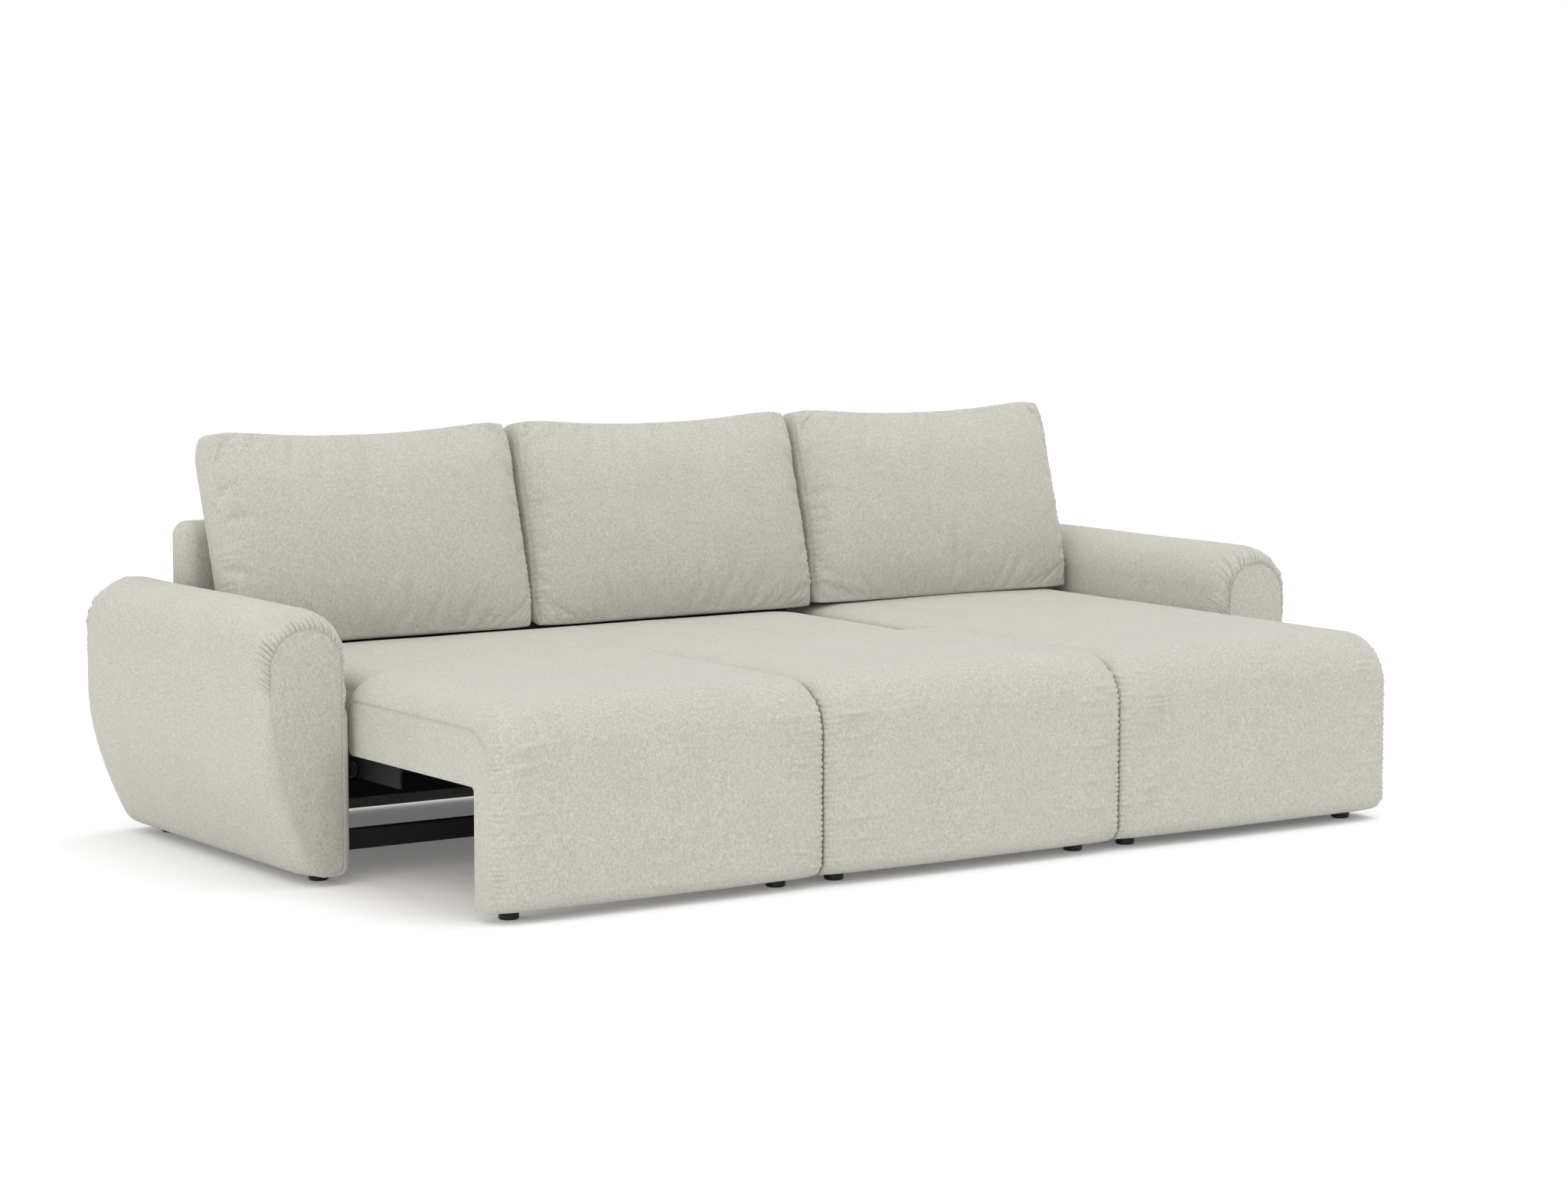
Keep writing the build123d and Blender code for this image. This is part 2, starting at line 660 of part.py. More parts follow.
def back_frame_block(clearance, below):
    """The frame inside the back, or its pocket when the clearance is nought."""
    half = arm_inner_x - back_frame_inset - clearance
    front = joining_y - back_frame_thickness / 2 + clearance
    rear = joining_y + back_frame_thickness / 2 - clearance
    top = back_top_z - back_frame_inset - clearance
    return block((-half, front, foot_height - below), (half, rear, top))


back_frame = back_frame_block(board_clearance, 0.0)
back_cover -= back_frame_block(0.0, cut_margin)
for z in joining_zs:
    for hole in (joining_rod(z, running_clearance), mirror(joining_rod(z, running_clearance), Plane.YZ)):
        back_cover -= hole
        back_frame -= hole
save("back_cover", back_cover)
save("back_frame", back_frame)

ledge_half = module_width - ledge_end_gap
save("cushion_ledge", block(
    (seats_centre_x - ledge_half, back_front_y - ledge_depth, ledge_top_z - ledge_thickness),
    (seats_centre_x + ledge_half, back_front_y, ledge_top_z)))

# Back cushions: swollen in front, drawn in along the sides, flat where they rest
cushion_tilt = math.radians(cushion_lean)
cushion_base_z = ledge_top_z + cushion_rest_gap
cushion_back_y = back_front_y - cushion_rest_gap - (back_top_z - cushion_base_z) * math.tan(cushion_tilt)


def cushion_loop(centre_x, forward, draw):
    """The cushion's outline at one distance forward of its leaning back."""
    half = (module_width - cushion_gap) / 2 - draw
    low, high = draw - cushion_tuck, cushion_height - draw
    corners = [(-half, low), (half, low), (half, high), (-half, high)]

    def place(x, up):
        y = cushion_back_y + up * math.sin(cushion_tilt) - forward * math.cos(cushion_tilt)
        z = cushion_base_z + up * math.cos(cushion_tilt) + forward * math.sin(cushion_tilt)
        return Vector(centre_x + x, y, z)

    return rounded_loop(corners, [cushion_corner_radius] * 4, [-cushion_draw_in] * 4, place)


cushion_rows = swollen_side(cushion_side_depth, cushion_side_swell, cushion_crown, cushion_crown_span)
for name, centre_x in zip(("left", "middle", "right"), module_centres):
    swollen = Solid.make_loft([cushion_loop(centre_x, *row) for row in cushion_rows], ruled=True)
    below = block((centre_x - module_width, back_front_y - module_width, cushion_base_z - module_width),
                  (centre_x + module_width, back_front_y + module_width, cushion_base_z))
    save(f"back_cushion_{name}", swollen - below)
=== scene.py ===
import json
import math

import bmesh
import bpy
import numpy as np
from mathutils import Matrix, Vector


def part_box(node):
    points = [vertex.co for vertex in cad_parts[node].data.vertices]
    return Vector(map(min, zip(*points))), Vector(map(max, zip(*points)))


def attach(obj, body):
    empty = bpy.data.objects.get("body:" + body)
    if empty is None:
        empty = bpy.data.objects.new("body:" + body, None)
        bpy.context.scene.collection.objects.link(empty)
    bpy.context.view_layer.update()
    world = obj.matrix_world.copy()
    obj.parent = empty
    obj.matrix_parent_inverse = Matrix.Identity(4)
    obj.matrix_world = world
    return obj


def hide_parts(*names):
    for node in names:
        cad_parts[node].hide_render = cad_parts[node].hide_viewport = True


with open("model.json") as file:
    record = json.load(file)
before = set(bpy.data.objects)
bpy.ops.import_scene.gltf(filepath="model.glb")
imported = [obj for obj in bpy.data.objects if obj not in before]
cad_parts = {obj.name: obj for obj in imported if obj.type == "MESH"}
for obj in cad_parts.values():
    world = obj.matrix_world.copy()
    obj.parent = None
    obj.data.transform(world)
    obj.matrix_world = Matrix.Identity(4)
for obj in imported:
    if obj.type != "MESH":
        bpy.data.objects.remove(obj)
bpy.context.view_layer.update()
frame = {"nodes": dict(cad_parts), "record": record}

nodes = frame["nodes"]


# Step-out mechanism: laser-cut side plates, swing levers, tubes and stretchers of steel.
# The steel is powder coated black, with a faint orange-peel surface, and bolted between arm and chaise.
def put(tree, kind, inputs=None, **settings):
    """Outputs of a new node in a tree, whose inputs are set to values or linked to other nodes."""
    node = tree.nodes.new(kind)
    for name, value in settings.items():
        setattr(node, name, value)
    for name, value in (inputs or {}).items():
        if isinstance(value, bpy.types.NodeSocket):
            tree.links.new(value, node.inputs[name])
        else:
            node.inputs[name].default_value = value
    return node.outputs


def new_group(name, kind, inputs, outputs):
    """A node group with named sockets, and the outputs of its input node."""
    group = bpy.data.node_groups.new(name, kind)
    for way, sockets in (("INPUT", inputs), ("OUTPUT", outputs)):
        for socket, form in sockets.items():
            group.interface.new_socket(socket, in_out=way, socket_type="NodeSocket" + form)
    return group, put(group, "NodeGroupInput")


def new_finish(name):
    """A material with an empty tree."""
    material = bpy.data.materials.new(name)
    material.use_nodes = True
    material.node_tree.nodes.clear()
    return material, material.node_tree


def shaded(tree, inputs):
    """Ends a finish in a shader with these inputs."""
    shader = put(tree, "ShaderNodeBsdfPrincipled", inputs)
    put(tree, "ShaderNodeOutputMaterial", {"Surface": shader["BSDF"]})


def relief(tree, height, strength, distance):
    """Normals of a surface that is raised by a height."""
    return put(tree, "ShaderNodeBump", {
        "Strength": strength, "Distance": distance, "Height": height})["Normal"]


def noise(tree, vector, scale, detail=2.0, distortion=0.0):
    """A noise over a vector."""
    return put(tree, "ShaderNodeTexNoise", {
        "Vector": vector, "Scale": scale, "Detail": detail, "Distortion": distortion})["Fac"]


def mixed(tree, factor, first, second, blend="MIX"):
    """Two colours mixed by a factor."""
    return put(tree, "ShaderNodeMix", {"Factor": factor, "A": first, "B": second},
               data_type="RGBA", blend_type=blend)["Result"]


def grain_group():
    """Shared fine grain: a tone that drifts over the surface, and a height for its bump."""
    group, given = new_group(
        "fine_grain", "ShaderNodeTree",
        {"Vector": "Vector", "Grain": "Float", "Dark": "Color", "Light": "Color"},
        {"Color": "Color", "Height": "Float"})
    drift = noise(group, given["Vector"], 14.0)
    put(group, "NodeGroupOutput", {
        "Color": mixed(group, drift, given["Dark"], given["Light"]),
        "Height": noise(group, given["Vector"], given["Grain"], detail=3.0)})
    return group


fine_grain = grain_group()


def grained_finish(name, dark, light, grain, roughness, bump):
    """A plain finish with a drifting tone and a fine grain in its surface."""
    material, tree = new_finish(name)
    place = put(tree, "ShaderNodeTexCoord")
    speckle = put(tree, "ShaderNodeGroup", {
        "Vector": place["Object"], "Grain": grain, "Dark": (*dark, 1.0), "Light": (*light, 1.0)},
        node_tree=fine_grain)
    shaded(tree, {
        "Base Color": speckle["Color"], "Roughness": roughness, "Specular IOR Level": 0.3,
        "Normal": relief(tree, speckle["Height"], bump, 0.0004)})
    return material


def finish_nodes(material, slot):
    """Gives the CAD nodes of a record slot their finish."""
    for part in frame["record"]["subparts"]:
        if part["material_slot"] == slot:
            nodes[part["node"]].data.materials.clear()
            nodes[part["node"]].data.materials.append(material)


powder_coat = grained_finish("black_powder_coat", dark=(0.012, 0.012, 0.013), light=(0.020, 0.020, 0.021),
                             grain=1100.0, roughness=0.6, bump=0.25)
finish_nodes(powder_coat, "black_metal")


# Boards of the frames and decks: raw plywood, sawn square and stapled.
# They show only from below, behind the front panels and between the seats and the floor.
def plywood():
    """Pale wood with grain that runs along X."""
    material, tree = new_finish("raw_plywood")
    place = put(tree, "ShaderNodeTexCoord")
    stretch = put(tree, "ShaderNodeMapping", {"Vector": place["Object"], "Scale": (3.0, 60.0, 60.0)})
    grain = noise(tree, stretch["Vector"], 2.0, detail=5.0, distortion=0.6)
    tone = tree.nodes.new("ShaderNodeValToRGB")
    tree.links.new(grain, tone.inputs["Fac"])
    stops = ((0.3, (0.34, 0.22, 0.12, 1.0)), (0.7, (0.62, 0.46, 0.29, 1.0)))
    for stop, (position, colour) in zip(tone.color_ramp.elements, stops):
        stop.position = position
        stop.color = colour
    shaded(tree, {"Base Color": tone.outputs["Color"], "Roughness": 0.75,
                  "Normal": relief(tree, grain, 0.2, 0.0005)})
    return material


finish_nodes(plywood(), "frame_wood")

# Feet: short turned glides of black plastic, each screwed up into a board.
# A chamfer runs round the foot above the floor and under the board.
foot_plastic = grained_finish("black_foot_plastic", dark=(0.010, 0.010, 0.011), light=(0.018, 0.018, 0.019),
                              grain=700.0, roughness=0.38, bump=0.15)
foot_chamfer = 0.0025


def spread_on_points(group, given, shape, turns):
    """Ends a geometry tree: the shape on every point, made real, in the given material."""
    copies = put(group, "GeometryNodeInstanceOnPoints", {
        "Points": given["Geometry"], "Instance": shape, **turns})
    real = put(group, "GeometryNodeRealizeInstances", {"Geometry": copies["Instances"]})
    paint = put(group, "GeometryNodeSetMaterial", {
        "Geometry": real["Geometry"], "Material": given["Material"]})
    put(group, "NodeGroupOutput", {"Geometry": paint["Geometry"]})


def maths(tree, operation, *values):
    """Result of an operation on values or sockets."""
    return put(tree, "ShaderNodeMath", dict(enumerate(values)), operation=operation)["Value"]


def rounds_group():
    """One turned round on each point, a foot or a screw head: a wide barrel between two chamfers."""
    group, given = new_group(
        "turned_rounds", "GeometryNodeTree",
        {"Geometry": "Geometry", "Radius": "Float", "Height": "Float", "Chamfer": "Float",
         "Material": "Material"}, {"Geometry": "Geometry"})
    radius, height, chamfer = given["Radius"], given["Height"], given["Chamfer"]
    narrow = maths(group, "SUBTRACT", radius, chamfer)
    barrel = maths(group, "SUBTRACT", height, maths(group, "MULTIPLY", chamfer, 2.0))
    shoulder = maths(group, "SUBTRACT", height, chamfer)
    join = group.nodes.new("GeometryNodeJoinGeometry")
    for bottom, top, depth, lift in ((narrow, radius, chamfer, 0.0), (radius, radius, barrel, chamfer),
                                     (radius, narrow, chamfer, shoulder)):
        cone = put(group, "GeometryNodeMeshCone", {
            "Vertices": 40, "Radius Bottom": bottom, "Radius Top": top, "Depth": depth})
        spot = put(group, "ShaderNodeCombineXYZ", {"Z": lift})
        move = put(group, "GeometryNodeTransform", {"Geometry": cone["Mesh"], "Translation": spot["Vector"]})
        group.links.new(move["Geometry"], join.inputs["Geometry"])
    spread_on_points(group, given, join.outputs["Geometry"], {})
    return group


def placed(name, data):
    """An object in the scene that shows some data."""
    thing = bpy.data.objects.new(name, data)
    bpy.context.scene.collection.objects.link(thing)
    return thing


def evaluated(thing):
    """An object with its modifiers applied."""
    return thing.evaluated_get(bpy.context.evaluated_depsgraph_get())


def made_by_nodes(name, source, group, settings):
    """Runs a geometry tree on a source mesh and returns the result as a plain mesh piece."""
    carrier = placed(name + "_source", source)
    modifier = carrier.modifiers.new("nodes", "NODES")
    modifier.node_group = group
    for socket in group.interface.items_tree:
        if socket.in_out == "INPUT" and socket.name in settings:
            modifier[socket.identifier] = settings[socket.name]
    mesh = bpy.data.meshes.new_from_object(evaluated(carrier))
    mesh.name = name
    bpy.data.objects.remove(carrier)
    return placed(name, mesh)


turned_rounds = rounds_group()


def rounds_at(name, spots, radius, height, chamfer, material):
    """A piece with one turned round on each spot."""
    points = bpy.data.meshes.new(name + "_points")
    points.from_pydata(spots, [], [])
    return made_by_nodes(name, points, turned_rounds, {
        "Radius": radius, "Height": height, "Chamfer": chamfer, "Material": material})


def stands_for(piece, node, body):
    """Puts a piece on its body in place of a node, and hides the node."""
    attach(piece, body)
    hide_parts(node)


def feet_of(node, body):
    """Turned feet in place of a node's plain ones."""
    solid = bmesh.new()
    solid.from_mesh(nodes[node].data)
    bmesh.ops.remove_doubles(solid, verts=solid.verts, dist=1e-5)
    loose, spots = set(solid.verts), []
    while loose:
        foot, todo = set(), [loose.pop()]
        while todo:
            vert = todo.pop()
            foot.add(vert)
            near = [edge.other_vert(vert) for edge in vert.link_edges]
            todo += [other for other in near if other in loose]
            loose.difference_update(near)
        low = [min(vert.co[k] for vert in foot) for k in range(3)]
        high = [max(vert.co[k] for vert in foot) for k in range(3)]
        spots.append(((low[0] + high[0]) / 2, (low[1] + high[1]) / 2, low[2]))
    solid.free()
    name = node.replace("_", "-") + "-turned"
    radius, height = (high[0] - low[0]) / 2, high[2] - low[2]
    piece = rounds_at(name, sorted(spots), radius, height, foot_chamfer, foot_plastic)
    stands_for(piece, node, body)


feet_of("seat_feet", "seat")
feet_of("chaise_feet", "base")
feet_of("arm_feet", "base")


# Screws of the pull-out seats: black pan heads under the bracket flanges and the joining plates.
# They are driven up through the steel into the decks.
def seat_screws():
    """Pan heads in rows under each flange and in pairs under each joining plate."""
    radius, height, chamfer = 0.0045, 0.0028, 0.0011
    flange_inset, flange_end, flange_count = 0.026, 0.015, 4
    plate_inset, near, far, half_pair = 0.045, 0.03, 0.08, 0.025
    plate_low, plate_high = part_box("seat_joining_plates")
    under = plate_low.z - height
    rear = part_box("seat_deck_left")[1].y
    spots = []
    for side in ("left", "right"):
        low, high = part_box("seat_bracket_" + side)
        x = low.x + flange_inset if side == "left" else high.x - flange_inset
        spots += [(x, y, under) for y in np.linspace(low.y + flange_end, rear - flange_end, flange_count)]
    for y in (plate_low.y + plate_inset, plate_high.y - plate_inset):
        for x in (plate_low.x + near, plate_low.x + far, plate_high.x - far, plate_high.x - near):
            spots += [(x, y - half_pair, under), (x, y + half_pair, under)]
    piece = rounds_at("seat-screws", spots, radius, height, chamfer, powder_coat)
    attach(piece, "seat")


seat_screws()


# Pull-out seats: foam over a deck and a front board, in a cover of heathered greige weave.
# The top rolls over the front in one waterfall, and the side seams are ruched on elastic.
def weave_group():
    """Heathered weave: slubs along two directions, flecks between tones, and a height for the yarn."""
    group, given = new_group(
        "heathered_weave", "ShaderNodeTree",
        {"Vector": "Vector", "Slub": "Vector", "Cross": "Vector", "Light": "Color", "Dark": "Color",
         "Warm": "Color"}, {"Color": "Color", "Height": "Float"})

    def yarns(stretch):
        place = put(group, "ShaderNodeVectorMath", {0: given["Vector"], 1: stretch}, operation="MULTIPLY")
        return noise(group, place["Vector"], 1.0, distortion=0.9)

    def ramp(value, ends):
        return put(group, "ShaderNodeMapRange", {"Value": value, **ends})["Result"]

    slubs = maths(group, "MULTIPLY_ADD", yarns(given["Cross"]), 0.7, yarns(given["Slub"]))
    flecks = noise(group, given["Vector"], 380.0, distortion=0.4)
    drift = noise(group, given["Vector"], 9.0, detail=1.0)
    fuzz = noise(group, given["Vector"], 780.0, detail=1.0, distortion=0.2)
    tone = mixed(group, ramp(slubs, {"From Min": 0.62, "From Max": 1.08}), given["Dark"], given["Light"])
    tone = mixed(group, ramp(flecks, {"From Min": 0.52, "From Max": 0.95}), tone, given["Warm"])
    level = ramp(drift, {"To Min": 0.965, "To Max": 1.03})
    put(group, "NodeGroupOutput", {
        "Color": mixed(group, 1.0, tone, level, "MULTIPLY"),
        "Height": maths(group, "MULTIPLY_ADD", fuzz, 0.45, slubs)})
    return group


heathered_weave = weave_group()
weave_light = (0.652, 0.636, 0.588, 1.0)
weave_dark = (0.462, 0.442, 0.390, 1.0)
weave_warm = (0.560, 0.526, 0.452, 1.0)


def upholstery(name, slub, cross, lay=(0.0, 0.0, 0.0)):
    """Cover fabric whose slubs run as the cloth was cut for that piece."""
    material, tree = new_finish(name)
    place = put(tree, "ShaderNodeTexCoord")
    turned = put(tree, "ShaderNodeMapping", {"Vector": place["Object"], "Rotation": lay})
    weave = put(tree, "ShaderNodeGroup", {
        "Vector": turned["Vector"], "Slub": slub, "Cross": cross,
        "Light": weave_light, "Dark": weave_dark, "Warm": weave_warm}, node_tree=heathered_weave)
    shaded(tree, {
        "Base Color": weave["Color"], "Normal": relief(tree, weave["Height"], 0.6, 0.0011),
        "Roughness": 0.92, "Specular IOR Level": 0.25, "Sheen Weight": 0.15, "Sheen Roughness": 0.5})
    return material


upright_weave = upholstery("greige_weave_upright", slub=(340.0, 340.0, 135.0), cross=(150.0, 340.0, 340.0))


def rounded_path(corners, radii, closed=False):
    """Fine points along straight runs that are joined by round corners."""
    arc_points = 25
    spots = [np.array(spot, float) for spot in corners]
    count = len(spots)
    inner = range(count) if closed else range(1, count - 1)
    path = [] if closed else [spots[0]]
    for i, radius in zip(inner, radii):
        spot = spots[i]
        back = spots[i - 1] - spot
        ahead = spots[(i + 1) % count] - spot
        back /= np.linalg.norm(back)
        ahead /= np.linalg.norm(ahead)
        half = math.acos(float(np.clip(back @ ahead, -1, 1))) / 2
        inward = (back + ahead) / np.linalg.norm(back + ahead)
        centre = spot + inward * radius / math.sin(half)
        first = spot + back * radius / math.tan(half) - centre
        last = spot + ahead * radius / math.tan(half) - centre
        turn = math.pi - 2 * half
        for share in np.linspace(0, 1, arc_points):
            path.append(centre + (first * math.sin((1 - share) * turn) + last * math.sin(share * turn))
                        / math.sin(turn))
    path.append(path[0] if closed else spots[-1])
    return np.array(path)


def lengths_along(path):
    """Distance along a path at each of its points."""
    return np.concatenate([[0.0], np.cumsum(np.linalg.norm(np.diff(path, axis=0), axis=1))])


def along(path, shares):
    """Points of a path at shares of its length."""
    run = lengths_along(path)
    return np.stack([np.interp(shares * run[-1], run, path[:, k]) for k in range(2)], axis=1)


def shares_for(path, step_at):
    """Shares of a path's length, close together where step_at asks for small steps."""
    run = lengths_along(path)
    fine = np.linspace(0, run[-1], 2000)
    spots = np.stack([np.interp(fine, run, path[:, k]) for k in range(2)], axis=1)
    density = np.concatenate([[0.0], np.cumsum(np.diff(fine) / step_at(spots[1:]))])
    wanted = np.linspace(0, density[-1], int(round(density[-1])) + 1)
    return np.interp(wanted, density, fine) / run[-1]


def grid_normals(grid):
    """Unit normals of a grid of points, on the side where the second direction turns left to the first."""
    normal = np.cross(np.gradient(grid, axis=1), np.gradient(grid, axis=0))
    return normal / np.maximum(np.linalg.norm(normal, axis=2, keepdims=True), 1e-9)


def ripple(points, size, seed):
    """A smooth unevenness over points in space, from a few waves."""
    waves, pitches = 7, (0.7, 1.6)
    draw = np.random.default_rng(seed)
    total = np.zeros(points.shape[:-1])
    for wave in range(waves):
        direction = draw.normal(size=3)
        direction /= np.linalg.norm(direction)
        pitch = size * draw.uniform(*pitches)
        total += np.sin(points @ direction * 2 * math.pi / pitch + draw.uniform(0, 2 * math.pi))
    return total / waves


def share_of(value, span):
    """0 where a value is below 0, 1 where it is past the span, and a straight run between."""
    return np.clip(value / span, 0, 1)


def eased(value):
    """A smooth step from 0 to 1."""
    value = np.clip(value, 0, 1)
    return value * value * (3 - 2 * value)


def bell(value, width):
    """A round bump, 1 at 0, that fades out over a width on both sides."""
    return np.exp(-(value / width) ** 2)


def gathers(run, near, span, pitch, length, height, seed):
    """Round ridges with sharp valleys that fan out from a gathered seam, and fade away from it."""
    widths, lengths, slants, heights, roundness = (0.72, 1.3), (0.6, 1.6), (-0.12, 0.12), (0.7, 1.2), 0.7
    draw = np.random.default_rng(seed)
    total, spot = np.zeros(np.broadcast(run, near).shape), span[0]
    while spot < span[1]:
        width = pitch * draw.uniform(*widths)
        fade = eased(1 - near / (length * draw.uniform(*lengths)))
        share = share_of(run + draw.uniform(*slants) * near - spot, width)
        ridge = np.abs(np.sin(math.pi * share)) ** roundness
        total = np.maximum(total, height * draw.uniform(*heights) * ridge * fade)
        spot += width
    return total


def mesh_piece(name, points, faces, materials, finishes=None):
    """A smooth mesh piece with its faces turned outwards, and the number of its finish for each face."""
    mesh = bpy.data.meshes.new(name)
    mesh.from_pydata([tuple(point) for point in points], [], faces)
    if finishes is not None:
        mesh.polygons.foreach_set("material_index", finishes)
    solid = bmesh.new()
    solid.from_mesh(mesh)
    bmesh.ops.remove_doubles(solid, verts=solid.verts, dist=2e-5)
    bmesh.ops.recalc_face_normals(solid, faces=solid.faces)
    solid.to_mesh(mesh)
    solid.free()
    mesh.polygons.foreach_set("use_smooth", [True] * len(mesh.polygons))
    for material in materials:
        mesh.materials.append(material)
    return placed(name, mesh)


def tube_faces(rings, count):
    """Quads between closed rings of points."""
    faces = []
    for ring in range(rings - 1):
        for i in range(count):
            j = (i + 1) % count
            faces.append((ring * count + i, ring * count + j, (ring + 1) * count + j, (ring + 1) * count + i))
    return faces


def wrinkle_height(seam_run, away, folds):
    """Height of loose wrinkles that start a little way from a seam and fade out again."""
    total = np.zeros(np.broadcast(seam_run, away).shape)
    for spot, start, length, width, height in folds:
        total += height * bell(seam_run - spot, width) * np.sin(math.pi * share_of(away - start, length)) ** 2
    return total


side_rungs = (0.0, 0.009, 0.02, 0.04, 0.1, 0.22, 0.4, 0.6, 0.78, 0.9, 0.965, 0.99, 1.0)
side_edge_share = 0.018


def slab_piece(name, outer, inner, materials):
    """A cover bent over its board: an outer and an inner sheet of points with flat sides between them."""
    stations = len(outer)
    loops = np.concatenate([outer, inner[:, -2:0:-1]], axis=1)
    points = list(loops.reshape(-1, 3))
    faces = tube_faces(stations, loops.shape[1])
    for side in (0, stations - 1):
        rows = []
        for edge, lining in zip(outer[side], inner[side]):
            row = []
            for rung in side_rungs:
                row.append(len(points))
                spot = edge + (lining - edge) * rung
                spot[0] = lining[0] + (edge[0] - lining[0]) * math.exp(-(rung / side_edge_share) ** 2)
                points.append(spot)
            rows.append(row)
        for first, second in zip(rows, rows[1:]):
            for k in range(len(side_rungs) - 1):
                faces.append((first[k], first[k + 1], second[k + 1], second[k]))
    return mesh_piece(name, points, faces, materials)


front_radius = 0.095
hem_radius = 0.035
lower_radius = 0.010
rear_start = 0.014
rear_fullness = 0.014
seat_rear_radius = 0.028
panel_thickness = 0.101
fabric_thickness = 0.0006
lining_inset, lining_slope = 0.006, 0.02
chaise_lining_bend = 0.9
side_roll = 0.085
crown_fall = 0.007
front_bow = 0.005
meeting_roll = (0.026, 0.017)
free_roll = (0.058, 0.032)
front_step, plain_step = 0.0018, 0.011
fine_reach, fine_drop = 0.10, 0.015
cover_unevenness, unevenness_size, rear_calm = 0.0012, 0.30, 0.15
ruche_zone, ruche_fade, hem_fade = 0.12, 0.05, 0.03
ruche_ends = (0.02, 0.05)
ruche_pitch, ruche_length, ruche_height = 0.0118, 0.032, 0.0050
ruche_draw, ruche_draw_span = 0.0024, 0.038
ruche_side_give = 0.62
wrinkle_bands = ((0.31, 0.40, 5), (0.22, 0.30, 2), (0.08, 0.17, 2))
wrinkle_starts, wrinkle_lengths = (0.004, 0.03), (0.06, 0.15)
wrinkle_widths, wrinkle_heights = (0.0035, 0.006), (0.0028, 0.0050)
wrinkle_wave, wrinkle_wave_rate = 0.02, 40
side_seam_depth, side_seam_width = 0.0034, 0.0028
side_welt_height, side_welt_width, side_welt_rise = 0.0012, 0.006, 0.010
side_seam_setback, side_seam_fade = 0.02, 0.06
side_seam_reach, side_seam_foot = 0.12, 0.03


def side_stations(half):
    """Places across a cover, close together at the ruched sides."""
    turns = np.concatenate([[0.0, 0.02, 0.04, 0.066], np.linspace(0.098, math.pi / 2, 16)])
    near = side_roll * (1 - np.cos(turns))
    beyond = np.linspace(side_roll, half, 16)[1:]
    left = np.concatenate([near, beyond])
    return np.concatenate([left - half, (half - left[:-1])[::-1]])


